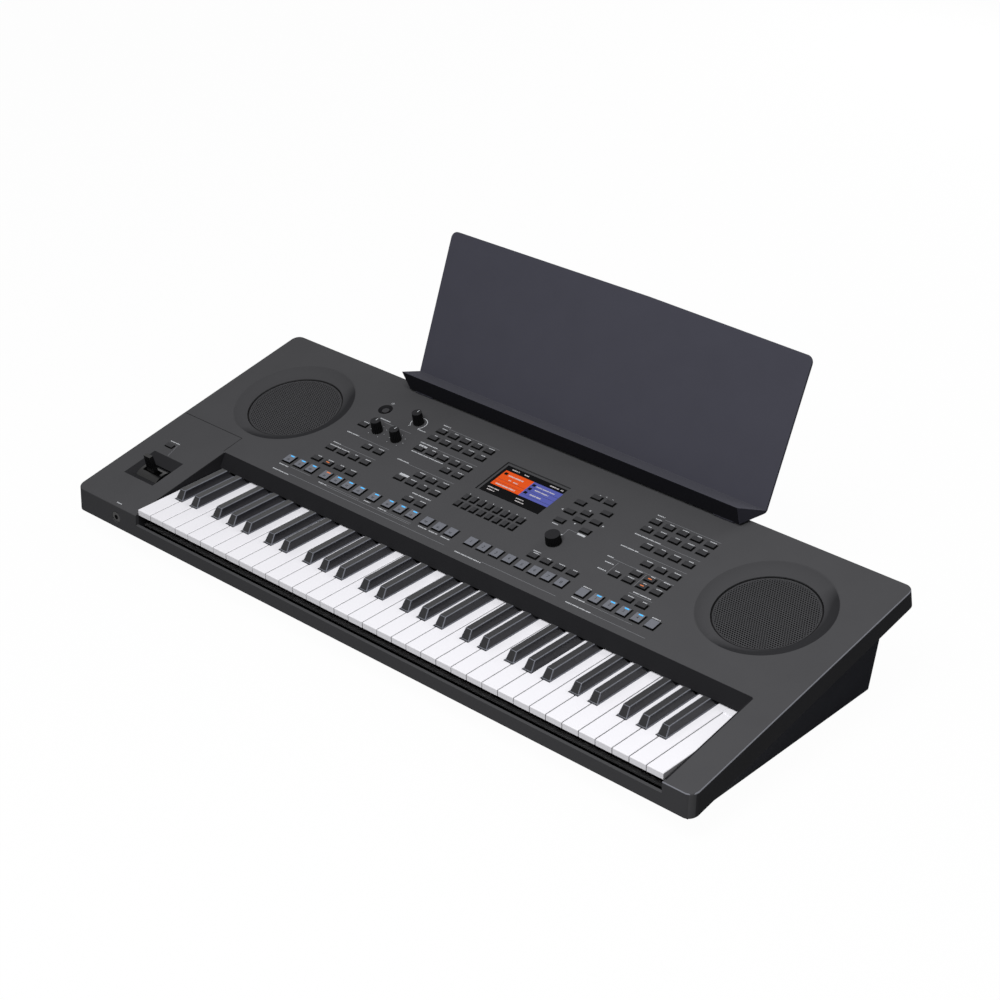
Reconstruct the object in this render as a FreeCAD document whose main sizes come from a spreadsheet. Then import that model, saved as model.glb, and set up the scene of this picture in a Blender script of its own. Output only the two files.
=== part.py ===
import FreeCAD, Part
import math
import os

import Sketcher

doc = FreeCAD.newDocument("arranger_keyboard")
sheet = doc.addObject("Spreadsheet::Sheet", "sizes")
X_AXIS = FreeCAD.Vector(1, 0, 0)


class Size:
    """A length or angle, with the spreadsheet formula that gives it."""

    def __init__(self, value, formula):
        self.value = value
        self.formula = formula

    def __add__(self, other):
        other = as_size(other)
        return Size(self.value + other.value, "(%s + %s)" % (self.formula, other.formula))

    def __sub__(self, other):
        other = as_size(other)
        return Size(self.value - other.value, "(%s - %s)" % (self.formula, other.formula))

    def __mul__(self, other):
        other = as_size(other)
        return Size(self.value * other.value, "(%s * %s)" % (self.formula, other.formula))

    def __truediv__(self, other):
        other = as_size(other)
        return Size(self.value / other.value, "(%s / %s)" % (self.formula, other.formula))

    def __radd__(self, other):
        return as_size(other) + self

    def __rsub__(self, other):
        return as_size(other) - self

    def __rmul__(self, other):
        return as_size(other) * self

    def __neg__(self):
        return Size(-self.value, "(0 - %s)" % self.formula)


def as_size(number):
    if isinstance(number, Size):
        return number
    return Size(float(number), "(%.8g)" % number)


def cosine(angle):
    return Size(math.cos(math.radians(angle.value)), "cos(%s)" % angle.formula)


def sine(angle):
    return Size(math.sin(math.radians(angle.value)), "sin(%s)" % angle.formula)


def tangent(angle):
    return Size(math.tan(math.radians(angle.value)), "tan(%s)" % angle.formula)


def arctangent(ratio):
    return Size(math.degrees(math.atan(ratio.value)), "(atan(%s) / 1 deg)" % ratio.formula)


def largest(*choices):
    return Size(max(choice.value for choice in choices), "max(%s)" % "; ".join(c.formula for c in choices))


def size(name, number):
    """One driving dimension: a plain number in its own named cell."""
    size.row += 1
    cell = "A%d" % size.row
    sheet.set(cell, str(number))
    sheet.setAlias(cell, name)
    return Size(float(number), "sizes." + name)


size.row = 0

# Case: a sloped slab with a side skirt over an inset tub
left_block = size("left_block", 118.04)
right_block = size("right_block", 42.53)
panel_length = size("panel_length", 396.3)
panel_slope = size("panel_slope", 10.43)
front_edge_height = size("front_edge_height", 62.2)
skirt_rear = size("skirt_rear", 22.5)
skirt_front = size("skirt_front", 29.5)
front_lean = size("front_lean", 7.5)
shell_wall = size("shell_wall", 2.8)
corner_radius = size("corner_radius", 12)
top_edge_radius = size("top_edge_radius", 1.6)
fit_gap = size("fit_gap", 0.4)
seam_y = size("seam_y", 186.5)
seam_width = size("seam_width", 0.9)
seam_depth = size("seam_depth", 0.5)
seam_end = size("seam_end", 3.5)
tub_top_inset = size("tub_top_inset", 8)
tub_bottom_inset = size("tub_bottom_inset", 29)
tub_top_front = size("tub_top_front", 10)
tub_top_rear = size("tub_top_rear", 340)
tub_bottom_front = size("tub_bottom_front", 28)
tub_bottom_rear = size("tub_bottom_rear", 353)
tub_wall = size("tub_wall", 3)
foot_height = size("foot_height", 4)
foot_radius = size("foot_radius", 10)
foot_inset_x = size("foot_inset_x", 72)
foot_inset_y = size("foot_inset_y", 30)
rib_thickness = size("rib_thickness", 3)
rib_spacing = size("rib_spacing", 240)
screw_radius = size("screw_radius", 1.75)
screw_head_radius = size("screw_head_radius", 3.6)
screw_head_height = size("screw_head_height", 2.2)
screw_length = size("screw_length", 12)
post_radius = size("post_radius", 4)
post_inset_y = size("post_inset_y", 15)
post_inset_x = size("post_inset_x", 22)
deep_post_inset_x = size("deep_post_inset_x", 62)
deep_post_y = size("deep_post_y", 208)

# Keys: five octaves and a top C, in moulded combs hinged at the rear
OCTAVES = 5
WHITE_KEYS_PER_OCTAVE = 7
SEMITONES_PER_OCTAVE = 12
WHITE_KEYS = OCTAVES * WHITE_KEYS_PER_OCTAVE + 1
octave_span = size("octave_span", 164)
key_gap = size("key_gap", 1.0)
key_setback = size("key_setback", 3.6)
key_top = size("key_top", 70)
key_lip = size("key_lip", 8.2)
key_depth = size("key_depth", 12)
key_head = size("key_head", 48)
key_deep = size("key_deep", 42)
key_body = size("key_body", 150)
key_pivot = size("key_pivot", 176)
key_chamfer = size("key_chamfer", 0.7)
key_press = size("key_press", 10)
comb_rail = size("comb_rail", 6.5)
comb_thickness = size("comb_thickness", 3)
comb_gap = size("comb_gap", 0.4)
comb_tongue = size("comb_tongue", 8)
black_height = size("black_height", 11.5)
black_front_slope = size("black_front_slope", 8.5)
black_rear_slope = size("black_rear_slope", 9)
black_side_slope = size("black_side_slope", 1.5)
black_rear_gap = size("black_rear_gap", 0.8)
top_c_step = size("top_c_step", 9)
top_c_rise = size("top_c_rise", 1.4)
fallboard_y = size("fallboard_y", 154.1)
fallboard_drop = size("fallboard_drop", 2.2)
fallboard_reach = size("fallboard_reach", 137)
fallboard_root = size("fallboard_root", 4)
slip_height = size("slip_height", 48.5)
opening_gap = size("opening_gap", 1.2)
chassis_wall = size("chassis_wall", 2)
chassis_floor = size("chassis_floor", 44)
chassis_front = size("chassis_front", 8)
chassis_riser = size("chassis_riser", 172)
chassis_rear = size("chassis_rear", 192)
board_thickness = size("board_thickness", 1.6)
contact_front = size("contact_front", 62)
contact_width = size("contact_width", 36)
rubber_height = size("rubber_height", 3)
rubber_width = size("rubber_width", 22)
felt_front = size("felt_front", 14)
felt_width = size("felt_width", 12)

# Speakers, behind round dishes in the panel
speaker_clear = size("speaker_clear", 7)
pad_clear = size("pad_clear", 7.9)
left_speaker_margin = size("left_speaker_margin", 32.8)
right_speaker_margin = size("right_speaker_margin", 37.8)
speaker_y = size("speaker_y", 280)
dish_radius = size("dish_radius", 81.2)
grille_radius = size("grille_radius", 63.6)
dish_edge_slope = size("dish_edge_slope", 42)
dish_floor_slope = size("dish_floor_slope", 4)
grille_sink = size("grille_sink", 1.2)
grille_thickness = size("grille_thickness", 1.2)
grille_dome = size("grille_dome", 1.6)
grille_seat = size("grille_seat", 4.5)
speaker_depth = size("speaker_depth", 42)
magnet_radius = size("magnet_radius", 34)
magnet_height = size("magnet_height", 14)
basket_radius = size("basket_radius", 21)
cap_radius = size("cap_radius", 10)
cap_rise = size("cap_rise", 1.5)
cone_wall = size("cone_wall", 4)

# Display
display_x = size("display_x", -2)
display_y = size("display_y", 300.3)
recess_width = size("recess_width", 103)
recess_height = size("recess_height", 62)
recess_depth = size("recess_depth", 2.2)
window_width = size("window_width", 96)
window_height = size("window_height", 54.5)
window_thickness = size("window_thickness", 2)
module_thickness = size("module_thickness", 6)

# Panel buttons and knobs
button_width = size("button_width", 13.8)
button_depth = size("button_depth", 7.4)
square_width = size("square_width", 13.6)
square_depth = size("square_depth", 14.4)
screen_button_width = size("screen_button_width", 7.6)
screen_button_depth = size("screen_button_depth", 9.6)
button_height = size("button_height", 1.9)
button_draft = size("button_draft", 0.4)
button_clearance = size("button_clearance", 0.35)
button_flange = size("button_flange", 1.2)
button_travel = size("button_travel", 1.2)
power_radius = size("power_radius", 5.0)
power_moat = size("power_moat", 1.9)
power_sink = size("power_sink", 1.4)
power_recess_radius = size("power_recess_radius", 9.6)
power_recess_depth = size("power_recess_depth", 4.2)
knob_radius = size("knob_radius", 7.3)
knob_top_radius = size("knob_top_radius", 6.5)
knob_height = size("knob_height", 17.2)
knob_groove = size("knob_groove", 0.5)
knob_cap = size("knob_cap", 1.2)
dial_radius = size("dial_radius", 10)
dial_top_radius = size("dial_top_radius", 9.2)
dial_height = size("dial_height", 12.8)
shaft_radius = size("shaft_radius", 3)
knob_lift = size("knob_lift", 0.5)
pot_size = size("pot_size", 12)
panel_board_drop = size("panel_board_drop", 14)
panel_board_width = size("panel_board_width", 590)
board_boss_inset = size("board_boss_inset", 6)
board_boss_front = size("board_boss_front", 43)
panel_board_front = size("panel_board_front", 177)
panel_board_rear = size("panel_board_rear", 344)
button_pitch = size("button_pitch", 20.3)
style_gap = size("style_gap", 25.5)
style_pitch = size("style_pitch", 20.1)
style_x = size("style_x", -299.8)
square_row_y = size("square_row_y", 188.2)
pad_x = size("pad_x", 190.9)
pad_pitch = size("pad_pitch", 20.6)
voice_pitch = size("voice_pitch", 20.6)
screen_pitch = size("screen_pitch", 12.8)
STYLE_GROUP_COUNTS = (3, 4, 1, 3, 3)
PAD_COUNT = 6

# Joystick
joystick_inset = size("joystick_inset", 59.6)
joystick_button_inset = size("joystick_button_inset", 41.7)
joystick_button_y = size("joystick_button_y", 124.6)
well_width = size("well_width", 56)
well_front = size("well_front", 53.8)
well_rear = size("well_rear", 106.8)
well_depth = size("well_depth", 6.8)
well_floor_width = size("well_floor_width", 40.2)
well_floor_front = size("well_floor_front", 65.3)
well_floor_rear = size("well_floor_rear", 91)
drum_radius = size("drum_radius", 24)
drum_drop = size("drum_drop", 27)
drum_gap = size("drum_gap", 0.8)
drum_slot_length = size("drum_slot_length", 30)
drum_slot_width = size("drum_slot_width", 9)
lever_width = size("lever_width", 14)
lever_top_width = size("lever_top_width", 12)
lever_thickness = size("lever_thickness", 7)
lever_height = size("lever_height", 21.5)
bracket_wall = size("bracket_wall", 3)

# Music rest
rest_lean = size("rest_lean", 23.1)
rest_overhang = size("rest_overhang", 14.8)
rest_rise = size("rest_rise", 10)
rest_foot_width = size("rest_foot_width", 565.6)
rest_top_width = size("rest_top_width", 574.6)
rest_height = size("rest_height", 188)
rest_arch = size("rest_arch", 3.2)
rest_corner = size("rest_corner", 9)
rest_thickness = size("rest_thickness", 3.2)
ledge_depth = size("ledge_depth", 46.2)
ledge_front_width = size("ledge_front_width", 546)
ledge_lip_reach = size("ledge_lip_reach", 26)
ledge_lip_drop = size("ledge_lip_drop", 21.4)
ledge_end_draft = size("ledge_end_draft", 20.2)
ledge_root = size("ledge_root", 12)
tongue_spacing = size("tongue_spacing", 490)
tongue_width = size("tongue_width", 30)
tongue_thickness = size("tongue_thickness", 5)
tongue_reach = size("tongue_reach", 20)
tongue_length = size("tongue_length", 41)
rest_gap = size("rest_gap", 0.3)
rest_foot_depth = size("rest_foot_depth", 5)

# Jacks
jack_bore = size("jack_bore", 3.2)
small_bore = size("small_bore", 1.8)
inlet_bore = size("inlet_bore", 2.8)
jack_nose_radius = size("jack_nose_radius", 5.5)
phones_nose_radius = size("phones_nose_radius", 7.2)
jack_width = size("jack_width", 12)
phones_body = size("phones_body", 11)
jack_body = size("jack_body", 16)
jack_length = size("jack_length", 22)
jack_height = size("jack_height", 45)
jack_pitch = size("jack_pitch", 30)
rear_jack_x = size("rear_jack_x", 60)
phones_inset = size("phones_inset", 78)
phones_height = size("phones_height", 46)
usb_width = size("usb_width", 12.6)
usb_height = size("usb_height", 5.4)
usb_depth = size("usb_depth", 10)
main_board_length = size("main_board_length", 240)
main_board_width = size("main_board_width", 110)
standoff = size("standoff", 8)
standoff_inset = size("standoff_inset", 10)

doc.recompute()

# Places that follow from the sizes
rear_edge_y = panel_length * cosine(panel_slope)
rear_edge_z = front_edge_height + panel_length * sine(panel_slope)
rest_foot_y = rear_edge_y + rest_overhang
rest_foot_z = rear_edge_z + rest_rise
skirt_low_y = skirt_front * sine(panel_slope) - front_lean * cosine(panel_slope)
rest_back = rest_foot_y + (rest_height + rest_arch) * sine(rest_lean) + rest_thickness * cosine(rest_lean)
y_front = -(rest_back + skirt_low_y) / 2
key_y = y_front + key_setback
white_pitch = octave_span / WHITE_KEYS_PER_OCTAVE
semitone = octave_span / SEMITONES_PER_OCTAVE
key_field_width = WHITE_KEYS * white_pitch
bowl_radius = (dish_radius - grille_radius) / (sine(dish_edge_slope) - sine(dish_floor_slope))
bowl_depth = bowl_radius * (cosine(dish_floor_slope) - cosine(dish_edge_slope))
dish_depth = bowl_depth + grille_sink
pads_right = pad_x + (PAD_COUNT - 1) * pad_pitch
half_case = largest((left_block + key_field_width + right_block) / 2,
                    left_speaker_margin + 2 * dish_radius + speaker_clear - style_x,
                    right_speaker_margin + 2 * dish_radius + pad_clear + pads_right)
case_width = 2 * half_case
left_side = -half_case
left_speaker_x = left_side + left_speaker_margin + dish_radius
right_speaker_x = half_case - right_speaker_margin - dish_radius
key_field_left = left_side + left_block
key_field_x = key_field_left + key_field_width / 2
key_field_right = key_field_left + key_field_width
opening_left = key_field_left - opening_gap
opening_right = key_field_right + opening_gap
joystick_x = left_side + joystick_inset
phones_x = left_side + phones_inset
post_spread = (case_width - 2 * post_inset_x) / 3
flange_fall = (skirt_front - skirt_rear) / (panel_length + front_lean)
drum_y = (well_floor_front + well_floor_rear) / 2
screw_hole = screw_radius + fit_gap / 2

nodes = {}


def bind(target, prop, amount):
    """Ties one property to the sheet, or sets a plain number."""
    if isinstance(amount, Size):
        target.setExpression(prop, amount.formula)
    else:
        setattr(target, prop, amount)


def place(target, x, y, z):
    """Moves an object to a point given by sizes."""
    for axis, amount in zip("xyz", (x, y, z)):
        target.setExpression("Placement.Base." + axis, as_size(amount).formula)
    return target


def turn(target, angle, axis=X_AXIS):
    """Turns an object about an axis by an angle given by a size."""
    target.Placement = FreeCAD.Placement(FreeCAD.Vector(), FreeCAD.Rotation(axis, as_size(angle).value))
    target.setExpression("Placement.Rotation.Angle", as_size(angle).formula)
    return target


def tilt_to_panel(target):
    """Puts an object that is modelled flat onto the sloped panel."""
    turn(target, panel_slope)
    return place(target, 0, y_front, front_edge_height)


def lean_to_rest(target):
    """Puts an object that is modelled upright onto the leaning music rest."""
    turn(target, -rest_lean)
    return place(target, 0, y_front + rest_foot_y, rest_foot_z)


def node(target, label, on_panel=False):
    """Names a finished piece."""
    if on_panel:
        tilt_to_panel(target)
    target.Label = label
    nodes[label] = target
    return target


def box(x, y, z, length, width, height):
    """A block from its low corner."""
    block = doc.addObject("Part::Box", "block")
    bind(block, "Length", length)
    bind(block, "Width", width)
    bind(block, "Height", height)
    return place(block, x, y, z)


def middle_box(x, y, z, length, width, height):
    """A block centred on x and y, with its underside at z."""
    return box(as_size(x) - as_size(length) / 2, as_size(y) - as_size(width) / 2, z, length, width, height)


def taper(x, y, z, length, width, height, side, front, rear):
    """A block whose top is drawn in by side, front and rear."""
    wedge = doc.addObject("Part::Wedge", "taper")
    low_x = as_size(x) - as_size(length) / 2
    high_x = as_size(x) + as_size(length) / 2
    far_y = -(as_size(y) + width)
    near_y = -as_size(y)
    limits = {"Xmin": low_x, "Xmax": high_x, "X2min": low_x + side, "X2max": high_x - side,
              "Zmin": far_y, "Zmax": near_y, "Z2min": far_y + rear, "Z2max": near_y - front,
              "Ymin": as_size(z), "Ymax": as_size(z) + height}
    for prop, amount in limits.items():
        bind(wedge, prop, amount)
    wedge.Placement = FreeCAD.Placement(FreeCAD.Vector(), FreeCAD.Rotation(X_AXIS, 90))
    return wedge


def rod(x, y, z, radius, height, direction=None):
    """A cylinder standing on z, or lying along a direction."""
    cylinder = doc.addObject("Part::Cylinder", "rod")
    bind(cylinder, "Radius", radius)
    bind(cylinder, "Height", height)
    if direction:
        cylinder.Placement = FreeCAD.Placement(
            FreeCAD.Vector(), FreeCAD.Rotation(FreeCAD.Vector(0, 0, 1), FreeCAD.Vector(*direction)))
    return place(cylinder, x, y, z)


def cone(x, y, z, low_radius, high_radius, height):
    solid = doc.addObject("Part::Cone", "cone")
    bind(solid, "Radius1", low_radius)
    bind(solid, "Radius2", high_radius)
    bind(solid, "Height", height)
    return place(solid, x, y, z)


def fuse(*shapes):
    joined = doc.addObject("Part::MultiFuse", "joined")
    joined.Shapes = list(shapes)
    joined.Refine = True
    return joined


def group(shapes):
    """Separate solids that share a node."""
    together = doc.addObject("Part::Compound", "together")
    together.Links = list(shapes)
    return together


def cut(base, *tools):
    result = doc.addObject("Part::Cut", "cut")
    result.Base = base
    result.Tool = tools[0] if len(tools) == 1 else group(tools)
    return result


def outline(sketch, points, arches=None):
    """Closes a sketch through points given by sizes; an arched side has a rise of its own."""
    arches = arches or {}
    corners = [FreeCAD.Vector(as_size(u).value, as_size(v).value, 0) for u, v in points]
    count = len(corners)
    for index, corner in enumerate(corners):
        following = corners[(index + 1) % count]
        if index in arches:
            along = following - corner
            normal = FreeCAD.Vector(along.y, -along.x, 0).normalize()
            crown = (corner + following) / 2 + normal * arches[index].value
            sketch.addGeometry(Part.Arc(corner, crown, following), False)
        else:
            sketch.addGeometry(Part.LineSegment(corner, following), False)
    ends = {}
    for index in range(count):
        start, finish = 1, 2
        if index in arches:
            first = sketch.Geometry[index].StartPoint
            if (first - corners[index]).Length > 0.001:
                start, finish = 2, 1
        ends[index] = (start, finish)
    for index in range(count):
        following = (index + 1) % count
        sketch.addConstraint(Sketcher.Constraint(
            "Coincident", index, ends[index][1], following, ends[following][0]))
    for index, (u, v) in enumerate(points):
        for kind, amount in (("DistanceX", as_size(u)), ("DistanceY", as_size(v))):
            number = sketch.addConstraint(Sketcher.Constraint(
                kind, -1, 1, index, ends[index][0], amount.value))
            sketch.setExpression("Constraints[%d]" % number, amount.formula)
    for index, rise in arches.items():
        following = (index + 1) % count
        chord = as_size(points[index][0]) - as_size(points[following][0])
        radius = (chord * chord / 4 + rise * rise) / (2 * rise)
        number = sketch.addConstraint(Sketcher.Constraint("Radius", index, radius.value))
        sketch.setExpression("Constraints[%d]" % number, radius.formula)
    return sketch


PLANES = {"XY": "XY_Plane", "XZ": "XZ_Plane", "YZ": "YZ_Plane"}


def new_body(name):
    return doc.addObject("PartDesign::Body", name)


def body_sketch(body, plane, points, arches=None):
    """A sketch on one of a body's own origin planes."""
    sketch = body.newObject("Sketcher::SketchObject", body.Name + "_outline")
    support = [feature for feature in body.Origin.OriginFeatures if feature.Role == PLANES[plane]][0]
    sketch.AttachmentSupport = [(support, "")]
    sketch.MapMode = "FlatFace"
    return outline(sketch, points, arches)


def across(body, points, length, kind="Pad"):
    """Pads or pockets a side profile evenly to left and right."""
    feature = body.newObject("PartDesign::" + kind, body.Name + "_" + kind.lower())
    feature.Profile = body_sketch(body, "YZ", points)
    feature.SideType = "Symmetric"
    bind(feature, "Length", length)
    return feature


def across_body(name, points, length):
    body = new_body(name)
    across(body, points, length)
    return body


def turned_body(name, points):
    """A body of revolution about Z from a profile of radius and height."""
    body = new_body(name)
    feature = body.newObject("PartDesign::Revolution", name + "_revolve")
    sketch = body_sketch(body, "XZ", points)
    feature.Profile = sketch
    feature.ReferenceAxis = (sketch, ["V_Axis"])
    feature.Angle = 360
    return body


def round_edges(body, radius, chosen):
    """Fillets the edges of a body's last feature that a test picks."""
    doc.recompute()
    base = body.Tip
    names = ["Edge%d" % (index + 1) for index, edge in enumerate(base.Shape.Edges) if chosen(edge)]
    fillet = body.newObject("PartDesign::Fillet", body.Name + "_fillet")
    fillet.Base = (base, names)
    bind(fillet, "Radius", radius)
    return fillet


def upright_at(x):
    """Tests for the corner edges of the slab at a distance from the middle."""
    def chosen(edge):
        ends = [vertex.Point for vertex in edge.Vertexes]
        if len(ends) != 2:
            return False
        on_side = all(abs(abs(end.x) - x.value) < 0.01 for end in ends)
        return on_side and abs(ends[0].z - ends[1].z) > 10
    return chosen


def on_top(edge):
    """Tests for the edges round the top face of the slab."""
    return all(abs(vertex.Z) < 0.01 for vertex in edge.Vertexes)


def short_edge(length, above=None):
    """Tests for the edges through a plate's thickness, above a height where one is given."""
    def chosen(edge):
        low = min(vertex.Z for vertex in edge.Vertexes)
        return edge.Length < length.value and (above is None or low > above.value)
    return chosen


# Button sections: label, cap width and depth, and the place of each button on the panel
def row(first, y, count, pitch=button_pitch):
    """Places of a row of buttons, from the left."""
    return [(first + step * pitch, y) for step in range(count)]


def style_control_places():
    places = []
    x = style_x
    for count in STYLE_GROUP_COUNTS:
        for step in range(count):
            places.append((x, square_row_y))
            x = x + (style_pitch if step < count - 1 else style_gap)
    return places


SECTIONS = {
    "accompaniment_buttons": (button_width, button_depth,
                              row(size("accompaniment_x", -270.6), size("low_row_y", 208.1), 4)
                              + row(size("accompaniment_x2", -270.8), size("mid_row_y", 233.9), 4)
                              + row(size("tap_x", -231.2), size("tap_y", 259.3), 2)
                              + row(size("assign_x", -270.3), size("assign_y", 292.2), 1)),
    "style_control_buttons": (square_width, square_depth, style_control_places()),
    "function_buttons": (button_width, button_depth,
                         row(size("function_low_x", -109), size("function_low_y", 207.9), 2)
                         + row(size("function_x", -149.8), size("function_y", 234.1), 4)
                         + row(size("function_top_x", -130.2), size("function_top_y", 250.6), 3)),
    "style_buttons": (button_width, button_depth,
                      row(size("style_row_x", -170.0), size("style_low_y", 317.8), 5)
                      + row(size("style_row_x2", -170.0), size("style_top_y", 333.9), 5)),
    "song_buttons": (button_width, button_depth,
                     row(size("song_x", -170.3), size("song_y", 292.5), 5)
                     + row(size("song_low_x", -109.1), size("song_low_y", 275.5), 2)),
    "display_buttons": (screen_button_width, screen_button_depth,
                        row(size("screen_x", -49.9), size("screen_low_y", 235.1), 8, screen_pitch)
                        + row(size("screen_x2", -49.5), size("screen_top_y", 249.8), 8, screen_pitch)),
    "registration_buttons": (square_width, square_depth,
                             row(size("registration_x", 16.2), size("registration_y", 187.9), 8)),
    "memory_buttons": (button_width, button_depth, row(size("memory_x", 96.9), size("memory_y", 207.8), 4)),
    "menu_buttons": (button_width, button_depth,
                     row(size("menu_top_x", 89.3), size("menu_top_y", 333.0), 2)
                     + row(size("menu_left_x", 78.7), size("menu_1_y", 315.1), 1)
                     + row(size("menu_right_x", 119.4), size("menu_1b_y", 315.4), 1)
                     + row(size("menu_left_x2", 78.9), size("menu_2_y", 295.2), 1)
                     + row(size("menu_right_x2", 119.5), size("menu_2b_y", 295.4), 1)
                     + row(size("menu_left_x3", 79.4), size("menu_3_y", 276.0), 1)
                     + row(size("menu_right_x3", 119.6), size("menu_3b_y", 276.1), 1)
                     + row(size("menu_mid_x", 98.9), size("menu_up_y", 302.7), 1)
                     + row(size("menu_mid_x2", 99.2), size("menu_down_y", 288.3), 1)),
    "voice_buttons": (button_width, button_depth,
                      row(size("voice_x", 180.1), size("voice_low_y", 317.2), 5, voice_pitch)
                      + row(size("voice_x2", 179.9), size("voice_top_y", 333.6), 5, voice_pitch)),
    "one_touch_buttons": (button_width, button_depth,
                          row(size("one_touch_x", 200.7), size("one_touch_y", 291.8), 4, voice_pitch)),
    "effect_buttons": (button_width, button_depth,
                       row(size("effect_x", 221.3), size("effect_y", 266.6), 3, voice_pitch)),
    "part_buttons": (button_width, button_depth,
                     row(size("part_low_x", 200.6), size("part_low_y", 232.9), 4, voice_pitch)
                     + row(size("part_top_x", 221.6), size("part_top_y", 246.9), 3, voice_pitch)),
    "octave_buttons": (button_width, button_depth,
                       row(size("octave_x", 242.2), size("octave_y", 206.8), 2, voice_pitch)),
    "pad_buttons": (square_width, square_depth, row(pad_x, size("pad_y", 187.5), PAD_COUNT, pad_pitch)),
    "joystick_button": (button_width, button_depth,
                        row(left_side + joystick_button_inset, joystick_button_y, 1)),
}
KNOBS = {
    "control_knob_a": (size("knob_a_x", -243.9), size("knob_a_y", 291.2), knob_radius),
    "control_knob_b": (size("knob_b_x", -209.3), size("knob_b_y", 289.9), knob_radius),
    "volume_knob": (size("volume_x", -209.2), size("volume_y", 332.0), knob_radius),
    "data_dial": (size("dial_x", 100.8), size("dial_y", 240.2), dial_radius),
}
KNOB_GROOVES = 18
DIAL_GROOVES = 30
power_x = size("power_x", -269.3)
power_y = size("power_y", 331.8)
doc.recompute()


# Buttons: drafted caps with a flange that the panel holds from above
def button(x, y, width, depth):
    flange_low = -(shell_wall + fit_gap + button_flange)
    flange_width = width + 2 * button_flange
    flange_depth = depth + 2 * button_flange
    cap = taper(x, y - depth / 2, flange_low, width, depth, button_height - flange_low,
                button_draft, button_draft, button_draft)
    return fuse(cap, middle_box(x, y, flange_low, flange_width, flange_depth, button_flange))


def button_hole(x, y, width, depth):
    return middle_box(x, y, -2 * shell_wall, width + 2 * button_clearance,
                      depth + 2 * button_clearance, 3 * shell_wall)


panel_holes = []
for label, (width, depth, places) in SECTIONS.items():
    node(group([button(x, y, width, depth) for x, y in places]), label, on_panel=True)
    panel_holes += [button_hole(x, y, width, depth) for x, y in places]

power_low = -(shell_wall + power_recess_depth + fit_gap + button_flange)
power_cap = rod(power_x, power_y, power_low, power_radius, -power_low - power_sink)
power_flange = rod(power_x, power_y, power_low, power_radius + button_flange, button_flange)
node(fuse(power_cap, power_flange), "power_button", on_panel=True)


# Knobs: drafted, with grip grooves all round, on the shaft of their potentiometer
def knob(label, x, y, radius, top_radius, height, grooves):
    body = turned_body(label, [(0, knob_lift), (radius, knob_lift), (top_radius, height), (0, height)])
    groove = body.newObject("PartDesign::Pocket", label + "_groove")
    rim = radius + knob_groove
    half = rim * math.tan(math.pi / grooves)
    sketch = body_sketch(body, "XY", [(top_radius - knob_groove, 0), (rim, half), (rim, -half)])
    groove.Profile = sketch
    groove.SideType = "One side"
    groove.Reversed = True
    bind(groove, "Length", height - knob_cap)
    around = body.newObject("PartDesign::PolarPattern", label + "_grip")
    around.Originals = [groove]
    around.Axis = (sketch, ["N_Axis"])
    around.Angle = 360
    around.Occurrences = grooves
    body.Tip = around
    shaft_low = -(panel_board_drop - pot_size) - knob_lift
    shaft = rod(0, 0, shaft_low, shaft_radius, 2 * knob_lift - shaft_low)
    whole = place(group([fuse(body, shaft)]), x, y, 0)
    return node(group([whole]), label, on_panel=True)


for label, (x, y, radius) in KNOBS.items():
    if label == "data_dial":
        knob(label, x, y, radius, dial_top_radius, dial_height, DIAL_GROOVES)
    else:
        knob(label, x, y, radius, knob_top_radius, knob_height, KNOB_GROOVES)


# Top shell: sloped slab, hollow below, with dishes, recesses and openings
def top_shell():
    """The outer slab with rounded corners, less a hollow with rounded corners of its own."""
    outer = across_body("shell", [(0, 0), (panel_length, 0), (panel_length, -skirt_rear),
                                  (-front_lean, -skirt_front)], case_width)
    round_edges(outer, corner_radius, upright_at(half_case))
    round_edges(outer, top_edge_radius, on_top)
    inner_width = case_width - 2 * shell_wall
    hollow = across_body("hollow", [(shell_wall, -shell_wall), (panel_length - shell_wall, -shell_wall),
                                    (panel_length - shell_wall, -skirt_rear - shell_wall),
                                    (shell_wall - front_lean, -skirt_front - shell_wall)], inner_width)
    round_edges(hollow, corner_radius - shell_wall, upright_at(inner_width / 2))
    return cut(outer, hollow)


def left_seam():
    """The shallow seam round the block at the left of the keys."""
    end_x = opening_left - seam_end
    along = box(left_side, seam_y, -seam_depth, end_x - left_side, seam_width, 2 * seam_depth)
    down = box(end_x - seam_width, fallboard_y, -seam_depth, seam_width, seam_y - fallboard_y, 2 * seam_depth)
    return fuse(along, down)


def slip_cut_depth():
    """How far the front wall is cut down below the panel in front of the keys."""
    return (front_edge_height - slip_height) * cosine(panel_slope)


def fallboard():
    """The inclined board behind the keys, hanging from the panel edge."""
    foot_y = key_setback + fallboard_reach
    foot_z = key_top + fallboard_drop - front_edge_height
    low_y = foot_y * cosine(panel_slope) + foot_z * sine(panel_slope)
    low_z = foot_z * cosine(panel_slope) - foot_y * sine(panel_slope)
    board = across_body("fallboard", [(fallboard_y, 0), (low_y, low_z), (low_y + shell_wall, low_z),
                                      (fallboard_y + fallboard_root, -shell_wall),
                                      (fallboard_y + fallboard_root, 0)], opening_right - opening_left)
    return place(board, key_field_x, 0, 0)


def cheek(x):
    """The side wall of the key opening."""
    return box(x, 0, -skirt_rear, shell_wall, fallboard_y, skirt_rear - shell_wall / 2)


def dish_boss(x):
    return rod(x, speaker_y, -(dish_depth + 2 * grille_thickness), dish_radius + shell_wall,
               dish_depth + 2 * grille_thickness)


def bowl(x):
    """The hollow wall of a dish, which steepens from its floor to its edge, as part of a ring."""
    ring = doc.addObject("Part::Torus", "bowl")
    bind(ring, "Radius1", dish_radius - bowl_radius * sine(dish_edge_slope))
    bind(ring, "Radius2", bowl_radius)
    return place(ring, x, speaker_y, bowl_radius * cosine(dish_edge_slope))


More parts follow.
